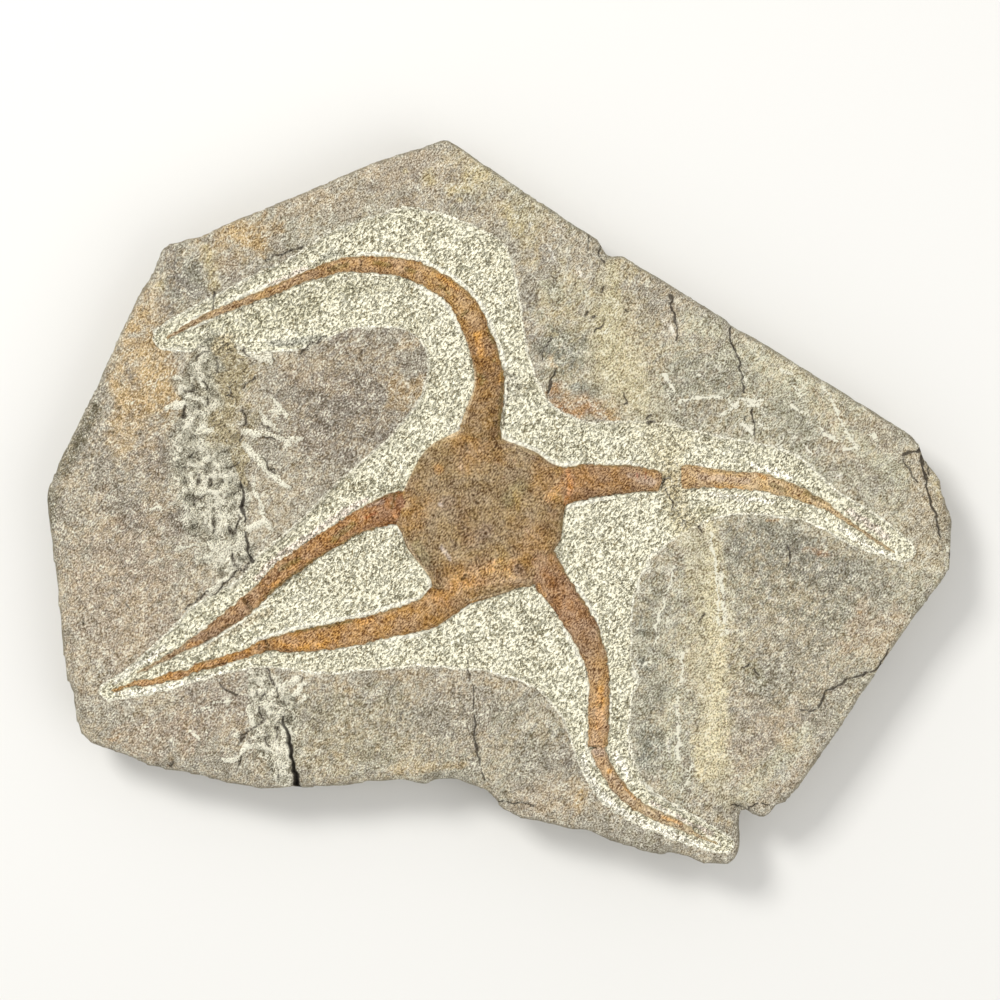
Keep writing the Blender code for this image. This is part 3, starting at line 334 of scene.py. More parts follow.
# White scratches and bruises that lie flat: x, y and half width along each.
BRUISES = [
    [(58.5, 31, 0.3), (60, 33, 0.5), (62.5, 34, 0.3), (65, 34.8, 0.5), (68, 34.5, 0.3),
     (70.5, 35.2, 0.4), (73, 34.3, 0.5)], [(64.5, 42, 0.35), (66.5, 42.2, 0.4)],
    [(80.5, 41, 0.5), (81.5, 40.5, 0.6)],
    [(78.5, 33, 0.5), (76, 31, 0.4), (74.5, 29.5, 0.6), (72.5, 28.3, 0.3)],
    [(75.5, 34, 0.3), (78, 31.5, 0.6)],
    [(78, 35, 0.3), (81, 33.5, 0.5), (84.5, 33, 0.4), (86.5, 33.5, 0.6)],
    [(82, 32, 0.3), (85, 31.5, 0.5)], [(80.5, 25, 0.6), (82.5, 24, 1), (83.5, 22.5, 0.5)],
    [(85.5, 26.5, 0.5), (87, 25, 0.6), (89.5, 24, 0.5)],
    [(91, 19, 0.6), (91.5, 18, 0.8), (93, 18, 0.5)],
    [(100, 19.5, 0.2), (101.5, 18, 0.4), (102.8, 16.5, 0.3)], [(93, 44, 0.5), (96.5, 42.5, 0.5)],
    [(96, 39.5, 0.5), (98, 37, 0.4), (99.5, 35.5, 0.5)],
    [(94.5, 33.5, 0.5), (97, 31.5, 0.3), (99.5, 29.5, 0.4), (101.5, 30.5, 0.5)],
    [(104.5, 27, 0.3), (106, 25, 0.6), (106.5, 23.5, 0.8), (108.5, 22, 0.5), (111, 21, 0.5)],
    [(107, 38, 0.3), (108.5, 35.5, 0.4), (110, 32, 0.3), (112, 28.5, 0.3), (113.5, 25, 0.5),
     (115.5, 21, 0.4), (117.5, 18.5, 0.6)], [(113.5, 17.5, 0.6), (116, 17.5, 0.6)],
    [(119, 13, 0.3), (121, 11.5, 0.5)], [(122, 22.5, 0.4), (124.5, 21.5, 0.4)],
    [(54, 42, 0.5), (56, 39.5, 0.4), (57.5, 36.5, 0.5)],
    [(93.9, 21.2, 0.3), (93, 22.1, 0.3), (92.1, 21.2, 0.3), (93, 20.3, 0.3), (93.9, 21.2, 0.3)],
    [(147, -13.5, 0.3), (147.8, -16.5, 0.45)], [(-100.5, -70, 0.2), (-93.5, -67.5, 0.2)],
    [(58, -20, 0.2), (57, -23, 0.3), (56, -28.5, 0.35), (54.5, -31, 0.4), (54, -34.5, 0.3),
     (52.3, -38, 0.4), (51.2, -42.5, 0.3)], [(52.5, -43.8, 0.6), (51.5, -46.5, 0.4)],
    [(60, -50, 0.3), (60.5, -54, 0.4), (59, -60, 0.3)],
    [(59.2, -64, 0.3), (59, -70, 0.6), (59, -77, 0.5), (58.8, -82, 0.6), (59, -85, 0.5)],
    [(63.5, -85, 0.4), (63, -88.5, 0.5), (61.5, -92, 0.3), (60.5, -95.5, 0.4)],
    [(44, -54, 0.4), (44.5, -57, 0.6), (45.5, -59.5, 0.5)], [(45, -53.5, 0.2), (50, -53, 0.25)],
    [(46, -90.5, 0.3), (48, -93, 0.4), (51, -96, 0.4), (55, -98.5, 0.3), (60, -101.5, 0.3)],
    [(46.5, -25, 0.4), (45.3, -29, 0.5)], [(52, -15.5, 0.5), (50, -18, 0.3), (47, -23, 0.5)],
    [(73, -21, 0.3), (73.2, -26, 0.6), (73.8, -30, 0.4), (74.3, -34, 0.5), (74.3, -40, 0.4),
     (75.5, -43, 0.6)], [(70, -10, 0.3), (70, -15, 0.4), (71.5, -22, 0.3), (72.5, -40, 0.25)],
    [(-108, 50.8, 0.3), (-100, 51, 0.3)],
    [(-114.5, -2.5, 0.4), (-112, -1.5, 0.6), (-110.8, -3, 0.3)],
    [(-101, -69, 0.3), (-97, -68, 0.4), (-94, -66, 0.4), (-88.5, -65, 0.3)], [(-101.5, -75.2, 0.3)],
    [(-100, -76.8, 0.5), (-98.7, -77.2, 0.5)], [(-102.5, -78.6, 0.3)], [(-96, -76, 0.3)],
]

# Stains in the stone: colour, x, y, half width, half height and strength.
STAIN_COLORS = {
    "ochre": "#BFA274", "slate": "#8C8976", "umber": "#8C8070", "olive": "#A6966B",
    "rose": "#BBA286", "plum": "#A2917F", "moss": "#94937B", "rust": "#B78A58", "buff": "#CBBD95",
    "sage": "#C0BDA1",
}
STAINS = [
    ("sage", 105, -25, 45, 45, 0.45), ("sage", 95, 35, 50, 22, 0.6), ("sage", 10, 100, 22, 12, 0.5),
    ("sage", 55, -60, 22, 45, 0.5), ("sage", -20, -80, 50, 20, 0.3), ("sage", 140, -5, 12, 25, 0.4),
    ("sage", -60, 90, 30, 12, 0.3), ("umber", -125, 8, 30, 45, 0.3),
    ("umber", -52, 30, 28, 28, 0.3), ("slate", -45, -74, 70, 16, 0.25),
    ("ochre", -84, 89, 13, 6, 0.8), ("ochre", -117, 40, 10, 19, 0.95),
    ("ochre", -115, 63, 6, 8, 0.5), ("slate", -103, 75, 9, 8, 0.8),
    ("umber", -49, 35, 21, 22, 0.85), ("olive", -90, 39, 9, 18, 0.7),
    ("umber", -113, -4, 16, 7, 0.7), ("umber", -117, 17, 14, 9, 0.5),
    ("rose", -125, -32, 20, 28, 0.45), ("plum", -93, -69, 15, 11, 0.65),
    ("rose", -112, -76, 17, 8, 0.5), ("olive", -51, -77, 23, 14, 0.35),
    ("plum", -14, -70, 15, 13, 0.4), ("moss", 21, 50, 11, 12, 0.75), ("rust", 29, 32, 13, 4, 0.7),
    ("buff", 40, 52, 10, 20, 0.6), ("slate", 68, 35, 15, 10, 0.45), ("slate", 97, 25, 14, 9, 0.25),
    ("rose", 119, 21, 13, 10, 0.35), ("slate", 96, -19, 26, 11, 0.6),
    ("slate", 50, -38, 4, 14, 0.3), ("slate", 51, -72, 6, 16, 0.5), ("buff", 70, -49, 7, 43, 0.5),
    ("umber", 99, -49, 18, 28, 0.35), ("rose", 124, -43, 10, 9, 0.55),
    ("rose", 88, -80, 13, 15, 0.35), ("buff", -7, 110, 11, 8, 0.7), ("umber", -1, 96, 6, 5, 0.6),
    ("buff", 10, 92, 7, 11, 0.6), ("rose", -33, 111, 16, 7, 0.4), ("buff", 20, 67, 9, 11, 0.7),
    ("rose", 15, -98, 11, 7, 0.4), ("umber", 21, -85, 9, 7, 0.45), ("rose", 142, 1, 8, 20, 0.35),
    ("ochre", -33, 36, 6, 7, 0.7), ("ochre", -30, 53, 3, 3, 0.6), ("rust", 106, -16, 2, 1, 0.9),
    ("rust", 119, -36, 1, 1, 0.7), ("rust", -129, -76, 2, 1, 0.8), ("ochre", 27, -96, 4, 5, 0.5),
    ("plum", -52, 57, 8, 3, 0.4), ("slate", 79, -12, 9, 9, 0.5), ("ochre", -90, 79, 5, 4, 0.5),
    ("buff", 46, 79, 13, 5, 0.4), ("umber", -29, 100, 7, 3, 0.3), ("ochre", -121, 25, 5, 7, 0.6),
    ("umber", 53, 67, 10, 6, 0.3), ("rose", -59, 98, 16, 6, 0.4),
]

# Marks on the split face: colour, strength, and lines of x, y and half width.
ROCK_MARKS = [
    ("#CBAB76", 0.85, [
        [(-117, 48, 3), (-113, 41, 5), (-114, 33, 4.5)], [(-127, 40, 2.2), (-123, 33, 3)],
        [(-122, 57, 2), (-117, 60.5, 3)], [(-88, 89, 2.5), (-81, 87, 3.5), (-79, 83, 2.5)],
        [(27, -96, 1.8), (26, -100, 1)],
    ]),
    ("#CFBE8E", 0.8, [
        [(-96, 83, 2.2), (-95, 77, 2.2), (-94, 71, 1.8)], [(-112, 71, 1.8)],
        [(-24, 108, 1.8), (-22, 105, 1.8)], [(-11, 107.5, 1.8), (-5, 108, 2.2)],
        [(-16, 103, 1.6), (-9, 104, 1.4)], [(-31, 109, 1)], [(-13, 99.5, 1)],
        [(2, 97, 1.8), (5, 92, 2.8), (8, 88, 2.2)],
        [(142.5, 12, 1.2), (144, 7, 1.3), (145.5, 2, 0.8)],
    ]),
    ("#8B8276", 0.7, [
        [(-109, 83, 2.5), (-107, 76, 3.5), (-104, 70, 3.5), (-100, 69, 2.5)],
        [(-111, 66, 2.5), (-108, 62, 1.8)], [(-123, 46, 1.3), (-121, 41, 1.1), (-120, 37, 0.9)],
        [(-17, 108, 2), (-13, 107.5, 1.4)], [(-27, 106, 1.8), (-29, 103, 1.8)],
        [(-20, 101.5, 1.4), (-14, 97.5, 1.8), (-6, 94.5, 2.3), (-3, 91, 2.2)],
        [(14, 85, 1.8), (16, 81, 2.3), (13, 78, 1.4)],
        [(10.5, 70, 1.5), (11, 67, 1.8), (9, 63, 1.3)],
        [(9, 60, 1.1), (11, 55, 1.8), (13, 52, 1.6)], [(24, -101.5, 1.1), (25, -103, 0.8)],
        [(22, -86, 1.8)],
    ]),
    ("#9B8B78", 0.55, [
        [(-88, 79, 3.5), (-86, 74, 2.5)], [(-74, 86, 2.5), (-71, 82, 1.4)],
        [(-43, 104, 2.2), (-38, 103, 2.2)], [(-25, 99, 1.4), (-36, 98, 1.4)],
        [(15, 92, 2.2), (20, 90, 2.2)], [(-108, 47, 2.2), (-104, 43, 1.8)],
        [(-70, 43, 3), (-58, 40, 4), (-50, 37, 4)], [(-66, 22, 4), (-58, 18, 4)],
        [(-113, 22, 3), (-118, 16, 5), (-112, 10, 4)],
    ]),
    ("#C9C5B2", 0.65, [
        [(-101, 82, 2), (-103, 85, 1.3)], [(-13, 114, 1.3)],
        [(98, -80, 2.5), (95, -85, 3), (92, -91, 2.5)], [(100, -75, 1.8)],
        [(131, 18, 1), (135, 20, 1.6)],
    ]),
    # a dark band along the left bevel: painted shade
    ("#6E664C", 0.85, [
        [(-133, 31, 2.2), (-139.5, 19.5, 3), (-145.5, 10, 3.5)], [(-147.5, 2, 3), (-148, -8, 2)],
    ]),
    ("#CCC8AC", 0.75, [
        [(80, 50, 4), (90, 44, 4), (100, 37, 4), (108, 31, 3)], [(62, 60, 4), (70, 56, 4)],
        [(112, 24, 3), (122, 16, 4), (133, 8, 4)], [(80, -97, 4), (92, -84, 4), (102, -76, 3)],
        [(58, -62, 3), (56, -72, 2), (57, -92, 3)],
    ]),
    ("#8A8873", 0.5, [[(80, -28, 4), (95, -34, 6), (112, -36, 5)], [(84, -58, 4), (92, -66, 4)]]),
    ("#B4814C", 0.85, [
        [(18, 39, 1.2), (19, 36.5, 1.6), (16.5, 35.5, 0.7)],
        [(20, 31, 0.8), (25, 29.5, 1.5), (30, 31, 1.8), (34, 30, 1.3)], [(105.5, -16.4, 1)],
    ]),
    ("#C79F68", 0.9, [
        [(36, 29, 1.3), (39, 27.5, 0.9)], [(118.8, -36.5, 0.9)], [(88, -5.8, 0.5), (92, -5.8, 0.4)],
        [(75.5, 38, 0.6)],
    ]),
    ("#D6BE96", 0.9, [[(17, 46.5, 1.3), (18.5, 44.5, 0.7)]]),
    ("#8B8C7D", 0.8, [
        [(17, 50, 2.2), (20, 49, 2.2), (24, 46, 2.6), (22, 43.5, 1.3)],
        [(23, 37, 1.3), (27, 38, 2.2), (32, 37, 2.2), (31, 34.5, 0.9)],
        [(14, 43, 1.3), (15.5, 40, 0.9)], [(46, -38, 1.8), (47, -42, 2.2)],
        [(47, -53, 1.8), (47.5, -57, 1.8)], [(48, -76, 2.6), (50, -80, 3.4), (47, -85, 2.6)],
        [(17, -70, 1.8), (18, -75, 1.8)],
    ]),
    ("#A5A48C", 0.6, [
        [(12, 62, 2.2), (16, 59, 2.2)], [(15, 72, 2.6), (20, 68, 4.4), (26, 70, 3.5)],
    ]),
    ("#CFC396", 0.7, [
        [(37, 79, 1.3), (37.5, 72, 2.2), (37, 64, 4), (36, 58, 5.3), (37, 50, 6.6), (40, 43, 6.6),
         (45, 36, 4.4), (47, 32, 2.6)],
    ]),
    ("#A89E7F", 0.5, [[(50, 55, 2.5), (52, 47, 3), (54, 41, 2)]]),
    ("#A09A88", 0.6, [
        [(60, 31.5, 1.8), (66, 31, 2.6), (72, 31, 2.6), (63, 28.5, 1.8)],
        [(76, 41, 2.2), (77, 37.5, 1)],
    ]),
    ("#8F8B7C", 0.4, [[(80, -12, 4.5), (95, -14, 7), (110, -22, 8), (125, -28, 6)]]),
    ("#B59F82", 0.5, [[(104, 37, 0.9), (107, 31, 0.9), (110, 26, 0.9)]]),
    ("#D5CDB0", 0.6, [[(100, 36, 0.9), (104, 31, 1.1), (108, 25, 1.3), (114, 21, 0.9)]]),
    ("#B9A27C", 0.6, [
        [(-40, -57, 2.2), (-33, -57.5, 1.8), (-25, -55.8, 1.3)], [(-53, -60, 1.8), (-50, -62, 1.8)],
        [(-3, -59, 1.3), (1, -61, 1.3)], [(92, -77, 2.5), (96, -81, 2)],
    ]),
    ("#C6AE80", 0.7, [
        [(-35, -88, 1.8), (-25, -87.5, 1.8), (-15, -86.5, 1.3), (-10, -85.5, 0.9)],
        [(-40, -81, 1.1)], [(-53, -83, 1.3)], [(-64, -81, 0.9)], [(72, -104, 1.5), (76, -107, 1.5)],
    ]),
    ("#9F966F", 0.5, [[(78, -55, 2.5), (83, -54, 2.5), (86, -59, 1.5)]]),
    ("#B5A48F", 0.6, [[(52, -92, 2)]]),
    ("#9F8F62", 0.6, [[(58, -7, 1.8), (62, -8, 1.3)]]),
    ("#A29A86", 0.45, [[(-45, -72, 5), (-30, -72, 7), (-15, -72, 7)], [(5, -75, 6), (8, -88, 5)]]),
    ("#EFE2B8", 0.9, [
        [(69.5, -7, 1.5), (70.5, -20, 3), (71, -38, 3.5), (72, -55, 3), (71.5, -75, 4.5),
         (71, -88, 4)], [(65.5, -78, 1), (66, -90, 2)],
    ]),
    ("#F0EADC", 0.85, [
        [(10, 92, 0.5), (10.5, 91, 0.5)], [(16, 85, 0.4), (17.5, 82, 0.5), (18.8, 78.5, 0.4)],
        [(-6, 102.5, 0.6)], [(26, 76, 1), (28, 74, 0.8)],
        [(53, 60, 0.5), (56, 58.5, 0.8), (57.5, 56, 0.8), (58, 54, 0.5)],
        [(105, -20.8, 0.6), (105.8, -21.8, 0.5)], [(89, -31.5, 0.9), (91, -32, 0.5)],
        [(88, -29.5, 0.6)], [(92.5, -38.5, 0.9), (94.5, -38.8, 0.5)],
        [(111, 8.3, 0.8), (112.5, 8.6, 0.7)], [(132.5, -20.8, 0.6)], [(107, -52.5, 0.9)],
        [(93, -24, 0.5)], [(73, -20, 0.5), (73.5, -27, 0.6), (74.3, -35, 0.6), (75, -39, 0.4)],
        [(76.3, -42.5, 0.7)], [(55.5, -78, 0.4), (56, -84, 0.5)], [(62, -76, 0.6)],
        [(-53.5, 55.8, 0.6), (-51, 57, 0.5)],
    ]),
]
# Marks on the ground face, in the same form. Several are painted shade and shadow beside the arms
# and on the recess's slope.
GROUND_MARKS = [
    # painted shade on the ground under the curled top arm
    ("#B7B193", 0.6, [[(-74, 67, 2), (-62, 69, 2.5), (-50, 71, 3), (-38, 71, 3)]]),
    # painted shadow lines along the underside of the top arm
    ("#8E8467", 0.8, [
        [(-101, 57.5, 0.8), (-97, 59, 1.5), (-92, 60.5, 0.8)],
        [(-88, 62.3, 0.4), (-80, 65.5, 0.5), (-73, 68, 0.4)],
    ]),
    ("#93917F", 0.8, [[(-58.5, 80.5, 1), (-55, 81.8, 1.8), (-51.5, 82.5, 0.9)]]),
    # a painted shadow band on the slope of the recess, at the loop
    ("#A09E8F", 0.8, [[(-76, 52.5, 0.8), (-68, 52.8, 1.5), (-59, 54.3, 1.2)]]),
    # a painted shadow line along the right side of the top arm
    ("#655639", 0.9, [
        [(2, 43.5, 0.4), (3, 40, 0.9), (2.4, 35, 0.6), (1.6, 30, 0.5), (1, 25, 0.4)],
    ]),
    # painted shade on the ground beside that shadow line
    ("#ADA793", 0.6, [[(4, 42, 1.2), (6, 38, 2.5), (5, 34, 1.5)]]),
    ("#E6D6C8", 0.8, [
        [(-44, 0.8, 1), (-50, -2.5, 1.2), (-58, -8, 1.2), (-66, -13.5, 1.3), (-74, -19, 1.4),
         (-80, -25.5, 1)], [(-79, 70.5, 0.8), (-64, 77, 1.1)],
        [(115, -2.5, 1), (121, -6.5, 1.4), (128, -11.5, 1.4)],
        [(50, -99, 0.6), (60, -104.5, 0.8), (70, -109, 1)],
    ]),
    ("#FFFBEA", 0.9, [
        [(-126, -63.3, 0.8), (-112, -61.8, 1.3), (-101, -59.3, 1.3), (-90, -56, 1.3)],
        [(-127, -59.5, 0.7), (-118, -53, 1), (-110, -48, 1)],
        [(-102, -33.5, 0.8), (-93, -28.5, 1.2)],
        [(27.5, -83, 1.2), (30, -91, 1.4), (36, -98.5, 1.4), (44, -104, 1.4), (54, -108.5, 1.3),
         (66, -113, 1.2)], [(38.5, -83, 1.5), (43, -91, 1.2)], [(42.7, -78, 0.6), (44.3, -86, 0.6)],
        [(84, 12, 1), (96, 8.5, 1)], [(112, -8, 1), (120, -13.5, 1.2), (130, -19, 1)],
        [(70, 2.5, 1), (90, 0.5, 1)],
    ]),
    ("#CFC8A4", 0.7, [
        [(54, 16, 4), (58, 14, 3)], [(57, 0, 3), (60, -8, 4)], [(66, -3, 2), (72, -2, 1.5)],
    ]),
    # more painted shade on the ground under the top arm
    ("#BDB797", 0.6, [[(-93, 59, 3), (-84, 59, 4), (-72, 61, 4), (-58, 66, 3.5), (-48, 71, 2)]]),
    # a painted shadow along the underside of the upper left arm
    ("#A5926C", 0.6, [[(-76, -36, 1.5), (-86, -41, 1.6), (-96, -47, 1.2)]]),
    ("#B7A377", 0.85, [[(54, 9, 2), (55, 5, 2.2)], [(57.5, 8.5, 2), (58, 3, 2)]]),
    ("#C9A877", 0.5, [[(-41.5, 82.5, 0.4), (-36, 82.8, 0.5), (-31, 82, 0.4)]]),
]
# Marks on the star, in the same form. A few are painted shade or a painted highlight along an arm's
# edge.
STAR_MARKS = [
    ("#C79A62", 0.7, [
        [(-2, -21, 2.5), (4, -20, 2.5)], [(-20, 11, 2)], [(16, 1, 1.5), (19, 5, 1.5)],
    ]),
    ("#C98B4A", 0.8, [[(22.8, 10.5, 0.9), (23.4, 5, 1.2), (22, -0.2, 0.9)], [(-34.2, -4, 1.3)]]),
    ("#B88A50", 0.5, [[(-24, -32, 1.6), (-15, -29.5, 1.4)]]),
    ("#D8AE78", 0.5, [[(-15, -27, 3.5), (-4, -24, 4.5), (6, -25, 3.5)]]),
    ("#8B7561", 0.6, [
        [(6.5, -22.5, 2.5)], [(-9, -12, 4), (-4, -9, 3)], [(12, 15, 1.6)], [(17.5, -4, 2.2)],
        [(-17, 0, 3)],
    ]),
    ("#76685A", 0.7, [[(-20.5, -24, 1.4)], [(17, -3, 0.9)]]),
    ("#8C8257", 0.45, [[(3, 1, 3), (7, 5, 3)], [(-27, -14, 2), (-24, -19, 2)]]),
    ("#D9C19A", 0.8, [
        [(-31.3, 4, 0.5), (-27.8, 13, 0.6), (-22, 19.7, 1), (-17, 21.8, 1.2), (-12.5, 23.8, 0.9)],
        [(-31.8, -10, 0.3), (-28, -17.5, 0.4), (-23.5, -23.5, 0.4)],
        [(3.5, 19.2, 0.8), (8.5, 17.7, 0.9), (12.5, 15.8, 0.6)],
        [(19.3, -12.5, 0.4), (21.5, -19.5, 0.4)],
        [(-10, -32, 0.5), (-3, -30.8, 0.5), (2, -29.3, 0.4)],
        [(-12, 26, 0.4), (-10.7, 30, 0.5), (-8.7, 36, 0.6), (-8, 43, 0.5), (-9.4, 49, 0.4)],
    ]),
    ("#CDBFB1", 0.7, [
        [(-19.4, -0.7, 0.9)], [(-19, -14.5, 0.6), (-17.3, -17, 0.8), (-15.8, -18.7, 0.5)],
    ]),
    ("#D9A25C", 0.6, [
        [(-7, 55, 1.5), (-6, 49, 1.5)], [(-20, 75, 0.9), (-13.5, 70, 1)],
        [(1, 43, 0.8), (0.5, 39, 0.8)], [(-76, -27.7, 0.7), (-73, -26, 0.8)],
        [(-71, -47.2, 1), (-62, -47.3, 1.5), (-54, -46, 1)], [(-46, -39.5, 0.8), (-42, -39, 1)],
        [(33.5, -61.5, 1.5), (33, -74, 1.6)], [(36.3, -88.5, 1)],
        [(40.5, -92.5, 0.7), (44.5, -97, 0.8)], [(54, -103.5, 0.8), (60, -106, 0.6)],
        [(85.5, 9.3, 0.6), (88, 8, 0.7)], [(70, 5.3, 0.6), (80, 4.7, 0.6)], [(-92.5, -52.4, 1.1)],
        [(-107, -56.3, 0.7), (-110, -57.5, 0.8)], [(-118, -59, 0.7)],
        [(-99, -46, 0.8), (-103, -47.5, 0.7)],
    ]),
    # pale pinkish grey patches on the arms, and a painted highlight along the upper edge of the
    # upper left arm
    ("#B39C88", 0.55, [
        [(43, 9, 1.2), (47, 8, 2), (50.5, 6.5, 1.4)], [(66, 8.5, 1.3), (82, 7, 1.2)],
        [(-38.5, 0.2, 1.2), (-43, -1, 0.6)], [(30.5, -81.5, 1), (33.5, -82.5, 1.8)],
    ]),
    ("#A4552C", 0.6, [
        [(45.3, 9.5, 0.4), (45.6, 8, 0.4)], [(48.3, 10, 0.3), (48.5, 7.8, 0.35)],
        [(-41, -3.5, 0.6), (-44, -5, 0.5)],
    ]),
    # dark olive stains in the arms, and painted shade along the right side of the top arm and the
    # lower side of the upper left arm
    ("#7C6836", 0.7, [
        [(-67.5, -42.6, 0.4), (-57, -40.6, 0.8), (-49, -39.2, 0.6)],
        [(0.8, 43, 0.3), (0.8, 37, 0.5), (0.2, 31, 0.6), (0.3, 25, 0.5)], [(-1.5, 46.5, 0.8)],
        [(-6.6, 42, 0.8), (-5, 40.5, 0.9), (-5.8, 39, 0.7)], [(-3.5, 57, 0.8), (-2.2, 53, 0.9)],
        [(-10.5, 63, 0.7), (-12.5, 61.5, 0.6)], [(-16.5, 69, 0.6), (-19.5, 71.2, 0.7)],
        [(-28, 76, 0.8), (-31, 77, 0.7)], [(-36, 78, 0.8), (-41, 79, 1)],
        [(-50, 78.5, 1), (-56, 76.8, 0.9)], [(33.3, -66.8, 0.8)], [(90, 6, 1.3), (94, 4, 1.1)],
        [(101, 3, 0.9), (106, 0.5, 0.8)],
        [(-38, -8.3, 0.4), (-45.5, -10, 0.5), (-52, -13.8, 0.5), (-59, -17.8, 0.4),
         (-70, -25.6, 0.5), (-77, -31, 0.5)], [(-48, -7, 1.2), (-55, -12.5, 1)],
        [(-66, -18.5, 1), (-72, -22, 0.9)],
    ]),
    ("#5F4420", 0.85, [
        [(-34.2, 2.4, 0.7), (-34.8, 0.5, 0.9), (-35.5, -2.2, 0.6)], [(-34.8, -6.7, 0.4)],
        [(-84, -31.6, 0.7), (-82.6, -34, 1), (-81.2, -36, 0.8)],
        [(-96, -42.5, 0.4), (-95.4, -45.6, 0.5)], [(-88.5, -40, 0.4), (-91, -41.3, 0.5)],
        [(-76.8, -45.4, 0.6), (-76, -47.2, 0.8), (-76.3, -48.8, 0.8), (-77.5, -49.6, 0.5)],
        [(-79, -46.5, 0.4), (-79.3, -48.5, 0.5)], [(-97.5, -54.9, 0.3), (-90, -52.8, 0.4)],
        [(28.9, -58.5, 0.35), (29.4, -62, 0.3)], [(36.4, -58, 0.5), (36.6, -61, 0.4)],
        [(36.3, -68, 0.3), (36.2, -72, 0.3)], [(34.8, -78.5, 0.4), (35.6, -80.2, 0.3)],
        [(30, 1.6, 0.25), (43, 3.2, 0.3), (51.5, 4, 0.35)], [(53, -103.2, 0.5)],
        [(-0.8, 27, 0.5), (-2, 24, 0.4)], [(0, 33, 0.5), (-3, 34.5, 0.4)],
        [(-30, 78, 0.3), (-31.5, 75.5, 0.3)], [(-44.5, 80, 0.3), (-46, 77, 0.3)],
        [(-97.5, 60.8, 0.9)], [(-13.6, 62.5, 0.3), (-14.8, 60.8, 0.3)],
    ]),
    ("#8F7049", 0.5, [
        [(-12, 1, 2), (-12, -6, 3), (-10, -12, 3)], [(18, -3, 2), (17, -8, 2.3), (19, -12, 2)],
        [(13, 14, 1.8)],
    ]),
    ("#8A7058", 0.6, [
        [(6.5, -21.5, 2), (7.5, -25, 2), (5, -27, 1)], [(2.5, 18.8, 0.7), (4.5, 18.8, 0.7)],
        [(18, 12.5, 1.2)],
    ]),
    ("#B7995F", 0.5, [[(0, -15, 2), (2, -18, 2.5), (0, -21, 2)], [(5.5, 3, 1.5), (6.5, -2, 1.2)]]),
    ("#B3834C", 0.5, [
        [(-16, -27.5, 1.5), (-10, -26.5, 1.8), (-5, -26, 1.5)], [(-20, -32, 2), (-17, -33, 2)],
    ]),
    ("#9A6836", 0.5, [[(15, -23, 2), (18, -27, 2)]]),
    ("#7A5628", 0.7, [
        [(-3.5, 25.5, 1.2), (-1.5, 23.5, 1.4), (-2.5, 21, 0.8)],
        [(-20.5, -22.5, 0.9), (-20, -25.5, 1)],
    ]),
    ("#CE9A58", 0.8, [
        [(13, -27, 0.6), (15, -31, 0.7)], [(20, 5.8, 0.6), (23, 6.8, 0.6)], [(-9, -32.8, 0.6)],
    ]),
    ("#C0A280", 0.7, [[(1.5, 8, 0.7)], [(5, 13.5, 0.8)], [(-12.5, 11.5, 1)], [(9, -9, 0.8)]]),
    ("#5F4526", 0.85, [
        [(-1, 19.2, 0.4), (-2.2, 17, 0.5)], [(-5.3, 16.3, 0.6)],
        [(-11, 19.5, 0.5), (-10.5, 17.5, 0.5)], [(-8.3, 7.5, 0.4), (-8.6, 5.8, 0.4)],
        [(-8.3, 2.2, 0.5), (-8, 0.2, 0.5)], [(-13.2, -10.5, 0.5), (-12.2, -9.8, 0.4)],
        [(-14, -12, 0.4), (-14.6, -14.2, 0.4)], [(-11, -23.8, 0.5), (-12, -25.5, 0.4)],
    ]),
]

# Each arm's colour from the disc outward: share of its length and colour.
ARM_TINTS = {
    "arm_top": [
        (0, "#8F7349"), (0.2, "#9C7548"), (0.35, "#B8935E"), (0.5, "#B08A5D"), (0.75, "#B08D60"),
        (1, "#B69C78"),
    ],
    "arm_upper_left": [
        (0, "#8C5E3A"), (0.15, "#A37647"), (0.5, "#AD865A"), (0.75, "#A38260"), (1, "#B09A78"),
    ],
    "arm_lower_left": [
        (0, "#A07B4A"), (0.3, "#B48A57"), (0.55, "#AE8350"), (0.62, "#B5864E"), (0.9, "#B88C58"),
        (1, "#C9A878"),
    ],
    "arm_lower_right": [
        (0, "#A07C52"), (0.3, "#A07854"), (0.55, "#A38360"), (0.66, "#B48F61"), (1, "#BA966C"),
    ],
    "arm_lower_right_tip": [(0, "#BA9B78"), (1, "#C2B08C")],
    "arm_right_inner": [(0, "#A3794A"), (1, "#A5825A")],
    "arm_right_outer": [(0, "#C4A273"), (0.4, "#CBAC7D"), (1, "#C4AE88")],
}


# ---- small helpers ----
def linear(code):
    """A hex colour as the three linear values that shaders take."""
    channels = [int(code[i:i + 2], 16) / 255 for i in (1, 3, 5)]
    return tuple(c / 12.92 if c <= 0.04045 else ((c + 0.055) / 1.055) ** 2.4 for c in channels)


def hold(values, low, high):
    return np.minimum(np.maximum(values, low), high)


def smooth(values):
    """An even step from 0 to 1."""
    values = hold(values, 0.0, 1.0)
    return values * values * (3 - 2 * values)


def along(points, step, closed=False):
    """Points a step apart on a smooth curve through the given ones, with their other values."""
    count = len(points)
    found = []
    for i in range(count if closed else count - 1):
        if closed:
            quad = [points[(i + k) % count] for k in (-1, 0, 1, 2)]
        else:
            quad = [points[min(max(i + k, 0), count - 1)] for k in (-1, 0, 1, 2)]
        parts = max(1, round(math.dist(quad[1][:2], quad[2][:2]) / step))
        for part in range(parts):
            t = part / parts
            found.append(tuple(
                0.5 * (2 * b + (c - a) * t + (2 * a - 5 * b + 4 * c - d) * t * t
                       + (3 * b - a - 3 * c + d) * t ** 3)
                for a, b, c, d in zip(*quad)))
    if not closed:
        found.append(tuple(float(value) for value in points[-1]))
    return found


